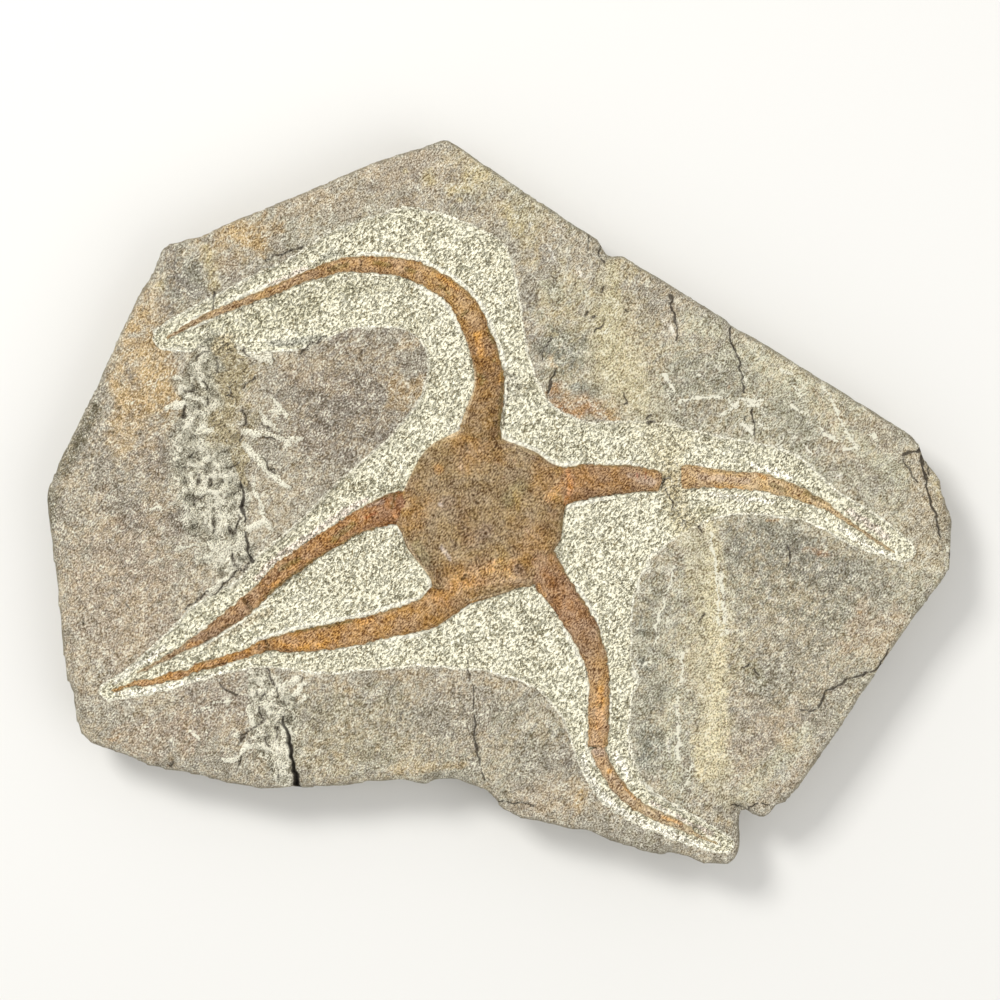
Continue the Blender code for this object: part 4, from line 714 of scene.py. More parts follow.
def to_line(places, line, closed=False):
    """For each place: its distance to a line, and the line's third value nearest to it, if any."""
    line = np.array(line, float)
    starts = line if closed else line[:-1]
    ends = np.roll(line, -1, 0) if closed else line[1:]
    best = np.full(len(places), 1e9)
    value = np.zeros(len(places))
    for a, b in zip(starts, ends):
        run = b[:2] - a[:2]
        share = hold((places[:, :2] - a[:2]) @ run / max(run @ run, 1e-12), 0.0, 1.0)
        away = np.hypot(*(places[:, :2] - a[:2] - share[:, None] * run).T)
        nearer = away < best
        best = np.where(nearer, away, best)
        if len(a) > 2:
            value = np.where(nearer, a[2] + (b[2] - a[2]) * share, value)
    return best, value


def within(places, ring):
    """Whether each place lies inside a closed ring."""
    inside = np.zeros(len(places), bool)
    x, y = places[:, 0], places[:, 1]
    for (ax, ay), (bx, by) in zip(ring, ring[1:] + ring[:1]):
        if ay != by:
            inside ^= ((ay > y) != (by > y)) & (x < (bx - ax) * (y - ay) / (by - ay) + ax)
    return inside


def depth_in(places, ring):
    """How far inside a closed ring each place lies, negative outside it."""
    ring = [point[:2] for point in ring]
    away = to_line(places, ring, True)[0]
    return np.where(within(places, ring), away, -away)


def band(places, line):
    """1 in the middle of a band that has a half width at each of its points, 0 outside it."""
    away, half = to_line(places, along(line, 4.0))
    return smooth(1.3 - away / half)


def drawn(places, lines, grow=0.0):
    """1 on lines that have a half width at each of their points, fading to 0 beside them."""
    found = np.zeros(len(places))
    for line in lines:
        line = line if len(line) > 1 else 2 * line
        spots = np.array(line)
        reach = 2 + 2 * spots[:, 2].max()
        near = ((places[:, :2] > spots[:, :2].min(0) - reach)
                & (places[:, :2] < spots[:, :2].max(0) + reach)).all(1)
        if near.any():
            away, half = to_line(places[near], along(line, 2.0))
            found[near] = np.maximum(found[near], np.exp(-(away / (half + grow)) ** 2))
    return found


def mixed(colors, share, paint):
    """The colours at each place, with a paint over them by its share there."""
    share = share[:, None]
    return colors * (1 - share) + np.array(paint) * share


def painted(places, colors, marks):
    """The colours with marks over them, each of a colour, a strength and its lines."""
    for code, strength, lines in marks:
        colors = mixed(colors, strength * smooth(1.6 * drawn(places, lines) - 0.3), linear(code))
    return colors


def of_width(marks, least, most):
    """The marks, with only those of their lines whose widest half width lies between two values."""
    kept = [(code, strength, [line for line in lines if least <= max(p[2] for p in line) < most])
            for code, strength, lines in marks]
    return [mark for mark in kept if mark[2]]


def lumps(places, size, seed, octaves=1):
    """Even noise between about -1 and 1 at each place, with lumps of that size."""
    shifted = places / size + seed
    if octaves == 1:
        return np.array([noise.noise(Vector(p)) for p in shifted.tolist()])
    return np.array([noise.fractal(Vector(p), 0.8, 2.1, octaves) for p in shifted.tolist()])


def summed(places, layers, total=0.0):
    """A sum of noise, each layer of a height, a size and a seed."""
    for height, size, seed in layers:
        total = total + height * lumps(places, size, seed)
    return total


def ridged(places, size, seed):
    """Sharp crests between rounded hollows: 1 on a crest, about -1 in a hollow."""
    return 1 - 3.2 * np.abs(lumps(places, size, seed))


def shaken(places, reach, size, seed):
    """The places, each moved a little, so that what is drawn through them gets a torn edge."""
    moved = places.copy()
    moved[:, 0] += reach * lumps(places, size, seed, 2)
    moved[:, 1] += reach * lumps(places, size, seed + 7.3, 2)
    return moved


def read(items, key):
    """A vector of each vertex or face of a mesh, such as its place or its normal."""
    flat = np.empty(len(items) * 3, np.float32)
    items.foreach_get(key, flat)
    return flat.reshape(-1, 3).astype(float)


def places_of(piece):
    """A piece's vertices in millimetres."""
    return read(piece.data.vertices, "co") / MM


def move_to(piece, places):
    piece.data.vertices.foreach_set("co", (places * MM).astype(np.float32).ravel())
    piece.data.update()


def store(piece, name, values):
    """Keeps a number at each vertex for the material to read."""
    layer = piece.data.attributes.new(name, "FLOAT", "POINT")
    layer.data.foreach_set("value", values.astype(np.float32))


def store_color(piece, name, colors):
    """Keeps a colour at each vertex for the material to read."""
    layer = piece.data.color_attributes.new(name, "FLOAT_COLOR", "POINT")
    full = np.ones((len(colors), 4), np.float32)
    full[:, :3] = colors
    layer.data.foreach_set("color", full.ravel())


def only(piece):
    """Selects one object and nothing else."""
    bpy.ops.object.select_all(action="DESELECT")
    piece.select_set(True)
    bpy.context.view_layer.objects.active = piece


def pick_faces(piece, mask):
    """Selects these faces and nothing else, ready for edit mode."""
    data = piece.data
    data.vertices.foreach_set("select", np.zeros(len(data.vertices), bool))
    data.edges.foreach_set("select", np.zeros(len(data.edges), bool))
    data.polygons.foreach_set("select", mask)
    bpy.context.tool_settings.mesh_select_mode = (False, False, True)


def refine(piece, wanted):
    """Cuts the upper faces that a test picks into four."""
    middles = read(piece.data.polygons, "center") / MM
    upper = (read(piece.data.polygons, "normal")[:, 2] > 0.2) & (middles[:, 2] > FACE_LOW)
    picked = np.zeros(len(middles), bool)
    picked[upper] = wanted(middles[upper])
    pick_faces(piece, picked)
    bpy.ops.object.mode_set(mode="EDIT")
    bpy.ops.mesh.subdivide(number_cuts=1, smoothness=0)
    bpy.ops.object.mode_set(mode="OBJECT")


def copy_of(packed, name):
    """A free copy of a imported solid, with its loose triangles joined up."""
    only(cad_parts[packed])
    bpy.ops.object.duplicate()
    piece = bpy.context.object
    for key in list(piece.keys()):
        del piece[key]
    piece.parent = None
    piece.name = name
    piece.data.name = name
    piece.data.materials.clear()
    only(piece)
    bpy.ops.object.mode_set(mode="EDIT")
    bpy.ops.mesh.select_all(action="SELECT")
    bpy.ops.mesh.remove_doubles(threshold=1e-6)
    bpy.ops.object.mode_set(mode="OBJECT")
    return piece


def modify(piece, kind, **settings):
    """Adds a modifier with its settings and applies it."""
    only(piece)
    bpy.ops.object.modifier_add(type=kind)
    for key, value in settings.items():
        setattr(piece.modifiers[-1], key, value)
    bpy.ops.object.modifier_apply(modifier=piece.modifiers[-1].name)


def adopt(piece, material, slot, *nodes):
    """Gives a finished piece its material and its place on the object."""
    piece.data.materials.clear()
    piece.data.materials.append(material)
    only(piece)
    bpy.ops.object.shade_smooth()
    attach(piece, "root")
    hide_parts(*nodes)


# ---- what materials share ----
EASED = {"interpolation_type": "SMOOTHSTEP"}        # a range with soft ends
OVER = {"out": 2, "data_type": "RGBA"}              # a colour laid over another
TIMES = {"out": 2, "data_type": "RGBA", "blend_type": "MULTIPLY"}
SCALED_SUM = {"operation": "MULTIPLY_ADD"}          # the first times the second, plus the third

# Sizes in the stone, in millimetres.
GRAIN, CLUMP = 0.4, 3.4             # grains of quartz, and clumps of them
HUE_PATCH, SPECK = 1.4, 0.85        # warm and cool grains, and the pits and glints
RUST_PATCH = 4.5                    # where the star is more or less rusty
STONE_CLOUD, STAR_CLOUD = 13.0, 11.0
STONE_BUMP, STAR_BUMP = 1.0, 0.9    # height of the finest grain, drawn high enough to show


def node(tree, kind, inputs=None, out=0, **settings):
    """Adds a shader node with its settings, fills or links its inputs, and gives an output."""
    made = tree.nodes.new("ShaderNode" + kind)
    for key, value in settings.items():
        setattr(made, key, value)
    for key, value in (inputs or {}).items():
        if isinstance(value, bpy.types.NodeSocket):
            tree.links.new(value, made.inputs[key])
        else:
            made.inputs[key].default_value = value
    return made.outputs[out]


def new_material(name):
    """An empty material: its node tree and its shader."""
    material = bpy.data.materials.new(name)
    material.use_nodes = True
    return material, material.node_tree, material.node_tree.nodes["Principled BSDF"]


def shade(color):
    return (*color, 1.0)


def grain_noises(tree, stretch, cloud, roughness):
    """The noises that both kinds of stone have: grains, a little longer one way, clumps of them,
    and clouds of colour of a size in millimetres. The places that they read come first."""
    where = node(tree, "TexCoord", out="Object")
    bedded = node(tree, "Mapping", {"Vector": where, "Rotation": GRAIN_TURN,
                                    "Scale": (stretch, 1.0, 1.0)}, vector_type="TEXTURE")
    noises = [node(tree, "TexNoise", {"Vector": at, "Scale": 1 / (size * MM), "Detail": detail,
                                      "Roughness": rough})
              for at, size, detail, rough in ((bedded, GRAIN, 2.0, 0.6), (where, CLUMP, 4.0, 0.6),
                                              (where, cloud, 4.0, roughness))]
    return where, bedded, noises


def grained(tree, color, noises, sizes, swells, shady, bright, crest_highlight):
    """A colour with painted light and shade of grains, clumps and clouds, whose shares are its
    swells.
    The hollows get painted shade, deep and warm, the crests a painted highlight, pale as chalk.
    Each of the others has the values between which it comes up, and its greatest strength."""
    grains, clumps, clouds = noises
    swell = node(tree, "Math", {0: clumps, 1: swells[0], 2: grains}, **SCALED_SUM)
    swell = node(tree, "Math", {0: clouds, 1: swells[1], 2: swell}, **SCALED_SUM)
    share = node(tree, "MapRange", {0: swell, 1: shady[0], 2: shady[1]})
    color = node(tree, "Mix", {0: share, 6: color, 7: shade(sizes.hollow)}, **TIMES)
    gain = node(tree, "MapRange", {0: swell, 1: bright[0], 2: bright[1], 3: 1.0, 4: bright[2]})
    color = node(tree, "VectorMath", {0: color, "Scale": gain}, operation="SCALE")
    share = node(tree, "MapRange", {0: swell, 1: crest_highlight[0], 2: crest_highlight[1], 4: crest_highlight[2]})
    return node(tree, "Mix", {0: share, 6: color, 7: shade(sizes.crest)}, **OVER)


def layered(tree, color, layers):
    """A colour with paints laid over it. Each layer has its mask, the noise that frays its edge and
    how much, the values between which it comes up, its greatest strength, and its paint."""
    for mask, fray, amount, start, full, most, paint in layers:
        share = node(tree, "Math", {0: fray, 1: amount, 2: mask}, **SCALED_SUM)
        share = node(tree, "MapRange", {0: share, 1: start, 2: full, 4: most}, **EASED)
        color = node(tree, "Mix", {0: share, 6: color, 7: paint}, **OVER)
    return color


def dress(tree, shader, color, height, distance, roughness, specular):
    """Gives a shader its colour, its bump and its gloss."""
    tree.links.new(color, shader.inputs["Base Color"])
    bump = node(tree, "Bump", {"Strength": 1.0, "Distance": distance, "Height": height})
    tree.links.new(bump, shader.inputs["Normal"])
    shader.inputs["Roughness"].default_value = roughness
    shader.inputs["Specular IOR Level"].default_value = specular


# ---- what a user would change ----
def bare_color(title, code):
    return bpy.props.FloatVectorProperty(
        name=title, description=title + " as linear colour", subtype="COLOR", size=3,
        min=0.0, max=1.0, default=linear(code))


def length(title, millimetres, words):
    return bpy.props.FloatProperty(
        name=title, description=words, unit="LENGTH", subtype="DISTANCE", min=0.0,
        default=millimetres * MM)


class FossilSlabSettings(bpy.types.PropertyGroup):
    face_size: length("Stone face", 1.47, "Side of the small faces that the stone is made of")
    scarp_width: length("Recess slope", 2.0, "Width of the slope down into the recess")
    recess_depth: length("Recess depth", 2.0, "Depth of the recess, as the packed slab has it")
    solid_scarp: length("Packed slope", 2.2, "Width of that slope on the packed slab")
    stone_relief: length("Stone relief", 0.24, "Height of the lumps of the split face")
    tool_relief: length("Tool pits", 0.26, "Depth of the pits that the grinding tool left")
    chip_height: length("Chips", 0.4, "Height of the burr of chips round the star")
    break_relief: length("Break relief", 1.7, "Height of the lumps in the left break")
    splinter_height: length("Splinters", 0.8, "Height of the fresh crests and splinters")
    crevice_depth: length("Crevices", 1.0, "Depth of the crevices")
    stone: bare_color("Stone", "#B4AB97")
    hollow: bare_color("Shade between grains", "#92866B")
    # the painted highlight on the crests of grains, and the colour of the painted glints
    crest: bare_color("Chalky crests of grains", "#FBF6E2")
    # the dark of the crevices, and of the painted shadow beside the crests and along the recess's
    # slope
    crevice_and_shadow_dark: bare_color("Dark grains", "#5F5546")
    ground: bare_color("Ground stone", "#E2DDC2")
    pit: bare_color("Shade of the pits in it", "#C7C6BB")
    ground_pale: bare_color("Bruised stone", "#F5F0DA")
    stone_warm: bare_color("Iron-stained grains", "#CDB07C")
    stone_cool: bare_color("Grey grains", "#959086")
    filler: bare_color("Filler", "#D6CBA6")
    filler_dark: bare_color("Filler's dark grains", "#AFA27F")
    packing: bare_color("Filling of the left break", "#BFB089")
    packing_dark: bare_color("Hollows of that filling", "#64553A")
    fresh: bare_color("Fresh stone", "#B1AD98")
    # painted shade in the hollows of the fresh stone
    fresh_hollow_shade: bare_color("Hollows of the fresh stone", "#6F6C5B")
    rim: bare_color("Worn rim", "#8D8672")
    crack: bare_color("Crack", "#3A3126")


class FossilStarSettings(bpy.types.PropertyGroup):
    face_size: length("Star face", 0.42, "Side of the small faces that the disc is made of")
    row_length: length("Arm rows", 0.42, "Distance between rows of faces along an arm")
    around: bpy.props.IntProperty(name="Arm columns", description="Faces round an arm",
                                  min=8, max=64, default=36)
    ragged: length("Ragged edge", 0.5, "How far the edges of the star wander")
    disc_height: bpy.props.FloatProperty(
        name="Disc height", description="Height of the worn disc as a share of the packed one",
        min=0.1, max=1.0, default=0.8)
    sunk: length("Sunk", 0.6, "How far the pieces reach into the recess floor")
    segment: length("Segment", 1.5, "Length of one segment of an arm")
    segment_relief: length("Segment relief", 0.07, "Height of the ridge on each segment")
    relief: length("Star relief", 0.12, "Height of the worn lumps on the star")
    disc: bare_color("Disc", "#9B8460")
    disc_warm: bare_color("Stained disc", "#A38051")
    # the colour of the painted shade along the star's edges
    side_shade_color: bare_color("Dark stain", "#75663C")
    hollow: bare_color("Shade between grains", "#846640")
    # the painted highlight on the crests of grains
    crest: bare_color("Pale crests of grains", "#EBDDBB")
    bruise: bare_color("Bruised rim", "#F0E6CB")


class FossilStageSettings(bpy.types.PropertyGroup):
    floor: bare_color("Floor", "#E4E2DD")
    floor_dim: bare_color("Floor's mottle", "#DFDDD7")
    view_width: length("View width", 329.0, "Width that the camera sees at the slab's face")
    lens: bpy.props.FloatProperty(name="Lens", description="Focal length in millimetres",
                                  min=20.0, max=400.0, default=110.0)
    key_power: bpy.props.FloatProperty(name="Key light", description="Power of the soft key light",
                                       subtype="POWER", min=0.0, default=17.0)
    fill_power: bpy.props.FloatProperty(name="Fill light", description="Power of the fill light",
                                        subtype="POWER", min=0.0, default=6.0)
    sky: bpy.props.FloatProperty(name="Sky", description="Strength of the even light all round",
                                 min=0.0, default=0.78)


# ---- the slab ----
SLAB_MASKS = ("recess", "mended", "filling", "fresh", "crest", "splinter", "chip", "hollow", "edge",
              "bruise", "crack_gap")

# Sums of noise, each layer with its height, the size of its lumps in millimetres, and its seed.
STONE_LUMPS = [(1.0, 5.0, 1.0), (0.7, 2.6, 2.0), (0.8, 14.0, 3.0)]
TOOL_PITS = [(1.0, 1.5, 6.0), (0.5, 4.0, 7.0)]
FRAYED_SLOPE = [(0.35, 3.2, 4.0), (0.3, 1.3, 9.0)]

# How far the edges of what is drawn are torn and in what size, in millimetres, and the seed.
JAGGED = (0.9, 3.0, 61.0)           # cracks, crevices, crests and scratches
TORN = (5.0, 9.0, 62.0)             # breaks and stains
TORN_GROUND = (0.8, 2.2, 63.0)      # marks on the ground face
TORN_BROAD = (1.5, 2.5, 64.0)       # broad marks on the split face
TORN_FINE = (0.3, 1.2, 65.0)        # fine ones there

GAP_SHARE = 0.5             # of the filling in the right arm's gap to that in the left break
FILLING_SHARE = 0.5         # of the filling's lumps to the left break's, in height
FLAKED_SHARE = 0.6          # of the lower break's lumps to them
SIDE_DEPTH = 0.9            # the deepest dent in the broken sides, in millimetres


def arms_away(places):
    """How far each place lies from the star's edge in plan, negative on the star."""
    away = -depth_in(places, DISC_EDGE)
    for line in ARM_LINES.values():
        near, half = to_line(places, along(line, 3.0))
        away = np.minimum(away, near - half)
    return away


def lines_away(places, lines):
    """Distance to the nearest of several lines."""
    return np.min([to_line(places, along(line, 3.0))[0] for line in lines], axis=0)


def crack_depths(places):
    """How deep the cracks are at each place, and how far the nearest crack's wall is."""
    deep = np.zeros(len(places))
    away = np.full(len(places), 5.0)
    for points, width, depth in CRACKS:
        count = len(points) - 1
        line = [(x, y, i / count) for i, (x, y) in enumerate(points)]
        near, share = to_line(places, along(line, 2.0))
        half = 0.5 * width * (CRACK_CLOSE + (1 - CRACK_CLOSE) * share)
        wall = hold(1 - near / (half + 0.35), 0.0, 1.0)
        deep = np.maximum(deep, depth * (0.3 + 0.7 * share) * wall)
        away = np.minimum(away, near - half)
    return deep, away


def prepare_faces(piece, ring):
    """Gives a slab a plain base, and small faces where its upper face has fine detail."""
    low = read(piece.data.polygons, "center")[:, 2] < 0.5 * MM
    pick_faces(piece, (read(piece.data.polygons, "normal")[:, 2] < -0.9) & low)
    bpy.ops.object.mode_set(mode="EDIT")
    bpy.ops.mesh.dissolve_limited(angle_limit=math.radians(4))
    bpy.ops.object.mode_set(mode="OBJECT")

    fine = CREVICES + CRESTS + BRUISES
    marked = [line for _, _, lines in of_width(ROCK_MARKS, 0, FINE_MARK) for line in lines]
    refine(piece, lambda spots: (depth_in(spots, ring) > -1.5) | (band(spots, SMASHED) > 0.1)
           | (band(spots, FLAKED) > 0.1) | (crack_depths(spots)[1] < 1.2)
           | (drawn(spots, fine + marked, 0.5) > 0.1))
    refine(piece, lambda spots: (crack_depths(spots)[1] < 0.5) | (drawn(spots, fine, 0.1) > 0.1))


def shape_slab(piece, sizes):
    """Cuts the fine relief into the slab's copy, and keeps what its material needs."""
    ring = along(RECESS, 2.5, True)
    prepare_faces(piece, ring)

    # where things are: the upper face, the sides, the recess, the star, the breaks and the marks
    places = places_of(piece)
    facing = read(piece.data.vertices, "normal")
    up = smooth((facing[:, 2] - 0.15) / 0.5) * (places[:, 2] > SIDE_TOP)
    top = up > 0
    side = (1 - up) * (places[:, 2] > 0.6)
    recess = np.full(len(places), -FAR)
    star = np.full(len(places), FAR)
    recess[top] = depth_in(places[top], ring)
    star[top] = arms_away(places[top])
    edge = to_line(places, SLAB_EDGE, True)[0]
    jagged = shaken(places, *JAGGED)
    torn = shaken(places, *TORN)
    deep, crack = crack_depths(jagged)
    smashed, flaked, mended = (band(torn, line) for line in (SMASHED, FLAKED, MENDED))
    filling = np.maximum(band(torn, FILLING), GAP_SHARE * band(torn, GAP_FILLING))
    flakes = hold(smashed - 0.8 * filling, 0, 1)
    splinter = drawn(jagged, CRESTS, 0.25) * hold(1 + 0.7 * lumps(places, 2.5, 19.0), 0.4, 1.2)
    crevice = drawn(jagged, CREVICES)
    # a painted shadow beside each crest, a little to its lower left
    beside = drawn(jagged + (0.8, 0.7, 0.0), CRESTS) * (1 - hold(1.5 * splinter, 0, 1))
    bruise = drawn(jagged, BRUISES, 0.1) * hold(0.85 + 0.9 * lumps(places, 2.0, 18.0), 0, 1)

    # the recess: its ragged slope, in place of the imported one, the tool's pits and the chips
    ragged = summed(places, FRAYED_SLOPE, recess)
    ragged += 2.5 * np.maximum(smashed, flaked) * lumps(places, 5.0, 10.0, 2)
    packed = smooth(recess / (sizes.solid_scarp / MM))
    wanted = smooth(ragged / (sizes.scarp_width / MM))
    in_recess = smooth((ragged + 0.3) / 0.6)
    rise = (packed - wanted) * sizes.recess_depth / MM
    rise += (1 - in_recess) * summed(places, STONE_LUMPS) * sizes.stone_relief / MM
    rise += in_recess * summed(places, TOOL_PITS) * sizes.tool_relief / MM
    loose = smooth(0.4 + 1.3 * lumps(places, 12.0, 16.0, 2)) * np.exp(-((star - 0.4) / 0.5) ** 2)
    struck = smooth((2.8 - lines_away(places, CHIPPED)) / 1.2) * np.exp(-((star - 0.8) / 0.8) ** 2)
    chip = np.maximum(loose, struck) * (1 - hold(1.5 * mended, 0, 1)) * up
    rise += in_recess * chip * sizes.chip_height / MM

    # the left breaks, splinters, cracks and crevices
    crests = 0.5 * ridged(torn, 8.0, 12.0) + 0.4 * ridged(jagged, 3.6, 13.0)
    crests += 0.35 * ridged(places, 1.9, 14.0)
    lumpy = ridged(places, 1.7, 17.0) - 0.5
    rise += flakes * (crests - 0.35) * sizes.break_relief / MM
    rise += filling * lumpy * FILLING_SHARE * sizes.break_relief / MM
    rise += flaked * (crests - 0.3) * FLAKED_SHARE * sizes.break_relief / MM
    rise += sizes.splinter_height / MM * splinter
    rise -= np.maximum(deep, sizes.crevice_depth / MM * crevice)
    places[:, 2] += up * rise

    # the broken sides, with their bedding
    bedding = lumps(places * (0.25, 0.25, 1.6), 3.0, 20.0)
    dent = 0.5 * lumps(places, 6.0, 15.0, 3) + 0.35 * bedding
    places -= facing * (side * hold(0.1 + 0.7 * dent, 0.0, SIDE_DEPTH))[:, None]
    places[:, 2] = hold(places[:, 2], 0.0, CAD_BOX[1][2] / MM)
    move_to(piece, places)

    masks = {
        "recess": hold(ragged, -8.0, 8.0), "mended": mended * up, "filling": filling * up,
        "fresh": np.maximum(flakes, flaked) * up, "crest": hold(crests + 0.1, -2.0, 2.0),
        "splinter": splinter * up, "chip": chip, "edge": hold(edge, 0.0, 8.0) * up,
        # the crevices, and the painted shadow beside the crests
        "hollow": np.maximum(crevice, 0.45 * beside) * up, "bruise": bruise * up,
        "crack_gap": hold(crack, -1.0, 5.0),
    }
    for name in SLAB_MASKS:
        store(piece, name, masks[name])
    store_color(piece, "stone_tint", stone_colors(torn, places, sizes))
    ground = np.tile(np.array(sizes.ground[:]), (len(places), 1))
    # the ground's marks, with painted shade and shadow beside the arms and on the recess's slope
    ground = painted(shaken(places, *TORN_GROUND), ground, GROUND_MARKS)
    store_color(piece, "ground_tint", ground)


def stone_colors(torn, places, sizes):
    """The stone's own colour at each vertex, with its stains and marks, each with a broken edge."""
    colors = np.tile(np.array(sizes.stone[:]), (len(places), 1))
    patchy = 0.7 * lumps(places, 2.5, 31.0, 3)
    for name, x, y, wide, high, strength in STAINS:
        away = np.hypot((torn[:, 0] - x) / wide, (torn[:, 1] - y) / high)
        share = strength * smooth((1.2 + patchy - away) / 0.45)
        colors = mixed(colors, share, linear(STAIN_COLORS[name]))
    broad = of_width(ROCK_MARKS, FINE_MARK, math.inf)
    colors = painted(shaken(places, *TORN_BROAD), colors, broad)
    return painted(shaken(places, *TORN_FINE), colors, of_width(ROCK_MARKS, 0, FINE_MARK))


def stone_material(sizes):
    """Split sandstone with a recess ground into it.

    The split face is a salt-and-pepper mix of quartz grains under a millimetre across, with painted
    glints, and painted light and shade on its grains.
    The ground face is cream stone bruised white, peppered with pits a millimetre or so across.
    """
    material, tree, shader = new_material("split_and_ground_sandstone")
    _, bedded, noises = grain_noises(tree, 1.6, STONE_CLOUD, 0.55)
    grains, clumps, clouds = noises
    mask = {name: node(tree, "Attribute", out="Fac", attribute_name=name) for name in SLAB_MASKS}
    tint = node(tree, "Attribute", attribute_name="stone_tint")
    ground = node(tree, "Attribute", attribute_name="ground_tint")
    hues = node(tree, "TexNoise", {"Vector": bedded, "Scale": 1 / (HUE_PATCH * MM),
                                   "Detail": 3.0, "Roughness": 0.6}, out="Color")
    specks = node(tree, "TexNoise", {"Vector": bedded, "Scale": 1 / (SPECK * MM), "Detail": 2.0,
                                     "Roughness": 0.6})
    pale = shade(sizes.ground_pale)

    # the split face: warm and cool grains among the others
    warm = node(tree, "SeparateColor", {0: hues}, out=0)
    warm = node(tree, "Math", {0: warm, 1: clouds}, operation="MULTIPLY")
    warm = node(tree, "MapRange", {0: warm, 1: 0.2, 2: 0.34, 4: 0.3}, **EASED)
    cool = node(tree, "SeparateColor", {0: hues}, out=1)
    cool = node(tree, "MapRange", {0: cool, 1: 0.46, 2: 0.62, 4: 0.42}, **EASED)
    rock = node(tree, "Mix", {0: warm, 6: tint, 7: shade(sizes.stone_warm)}, **OVER)
    rock = node(tree, "Mix", {0: cool, 6: rock, 7: shade(sizes.stone_cool)}, **OVER)

    # the ground face: dark pits in cream stone
    pits = node(tree, "MapRange", {0: specks, 1: 0.36, 2: 0.5}, **EASED)
    pitted = node(tree, "Math", {0: 1.0, 1: pits}, operation="SUBTRACT")
    ground = node(tree, "Mix", {0: pitted, 6: ground, 7: shade(sizes.pit)}, **TIMES)

    # a wandering edge between the two, bruised white
    wander = node(tree, "Math", {0: clumps, 1: 0.5}, operation="SUBTRACT")
    wander = node(tree, "Math", {0: wander, 1: 1.8}, operation="MULTIPLY")
    bound = node(tree, "Math", {0: wander, 1: 0.6, 2: mask["recess"]}, **SCALED_SUM)
    inside = node(tree, "MapRange", {0: bound, 1: -0.2, 2: 0.25}, **EASED)
    color = node(tree, "Mix", {0: inside, 6: rock, 7: ground}, **OVER)
    near = node(tree, "Math", {0: bound, 1: 0.35}, operation="SUBTRACT")
    near = node(tree, "Math", {0: near}, operation="ABSOLUTE")
    near = node(tree, "MapRange", {0: near, 1: 0.55, 2: 0.2}, **EASED)
    broken = node(tree, "MapRange", {0: clumps, 1: 0.33, 2: 0.45, 3: 0.2}, **EASED)
    near = node(tree, "Math", {0: near, 1: broken}, operation="MULTIPLY")
    color = node(tree, "Mix", {0: near, 6: color, 7: pale}, **OVER)

    # filler over the right break, the fresh stone, with painted shade in its hollows, and the
    # grainy filling of the left one
    filler = node(tree, "Mix", {0: warm, 6: shade(sizes.filler), 7: shade(sizes.filler_dark)},
                  **OVER)
    frayed = node(tree, "Math", {0: grains, 1: 0.5}, operation="SUBTRACT")
    frayed = node(tree, "Math", {0: frayed, 1: 2.2, 2: wander}, **SCALED_SUM)
    level = node(tree, "Math", {0: frayed, 1: 0.8, 2: mask["crest"]}, **SCALED_SUM)
    # painted shade where the break's relief is low, pale fresh stone where it is high
    low = node(tree, "MapRange", {0: level, 1: -0.25, 2: 0.05}, **EASED)
    high = node(tree, "MapRange", {0: level, 1: 0.45, 2: 0.75}, **EASED)
    split = node(tree, "Mix", {0: low, 6: shade(sizes.fresh_hollow_shade), 7: shade(sizes.fresh)}, **OVER)
    split = node(tree, "Mix", {0: high, 6: split, 7: pale}, **OVER)
    packing = node(tree, "Mix", {0: pits, 6: shade(sizes.packing_dark), 7: shade(sizes.packing)},
                   **OVER)
    color = layered(tree, color, [
        (mask["mended"], wander, 0.35, 0.2, 1.0, 0.4, filler),
        (mask["fresh"], wander, 0.0, 0.1, 0.8, 0.75, split),
        (mask["filling"], wander, 0.5, 0.1, 0.9, 0.9, packing),
        (mask["splinter"], frayed, 0.5, 0.15, 0.45, 0.9, pale),
        # crevices darkened, with painted shadow beside the crests and along the recess's slope
        (mask["hollow"], frayed, 0.5, 0.2, 0.7, 0.9, shade(sizes.crevice_and_shadow_dark)),
    ])

    # painted light and shade of the grains, and pale specks painted as glints
    color = grained(tree, color, noises, sizes, swells=(0.35, 0.12), shady=(0.73, 0.58),
                    bright=(0.73, 0.88, 1.55), crest_highlight=(0.75, 0.9, 0.5))
    glint = node(tree, "MapRange", {0: specks, 1: 0.68, 2: 0.76, 4: 0.8}, **EASED)
    color = node(tree, "Mix", {0: glint, 6: color, 7: shade(sizes.crest)}, **OVER)

    # the worn rim, fresh white chips round the star, white scratches, and the dark of the cracks
    color = layered(tree, color, [
        (mask["edge"], wander, 1.0, 1.8, 0.5, 0.55, shade(sizes.rim)),
        (mask["chip"], frayed, 0.4, 0.25, 0.7, 0.95, pale),
        (mask["bruise"], frayed, 1.1, 0.3, 0.55, 0.95, pale),
        (mask["crack_gap"], wander, 0.35, 0.4, 0.0, 0.85, shade(sizes.crack)),
    ])
    height = node(tree, "Mix", {0: inside, 2: grains, 3: pits})
    height = node(tree, "Math", {0: clumps, 1: 1.2, 2: height}, **SCALED_SUM)
    dress(tree, shader, color, height, STONE_BUMP * MM, roughness=0.85, specular=0.4)
    return material


class FOSSIL_OT_slab(bpy.types.Operator):
    """Dresses the slab: its split face, the ground recess, breaks, cracks and stains."""
    bl_idname = "fossil.slab"
    bl_label = "Sandstone slab"

    def execute(self, context):
        sizes = context.scene.fossil_slab
        piece = copy_of(SLAB_NODE, "sandstone_slab")
        modify(piece, "REMESH", mode="VOXEL", voxel_size=sizes.face_size)
        shape_slab(piece, sizes)
        adopt(piece, stone_material(sizes), "sandstone", SLAB_NODE)
        return {"FINISHED"}


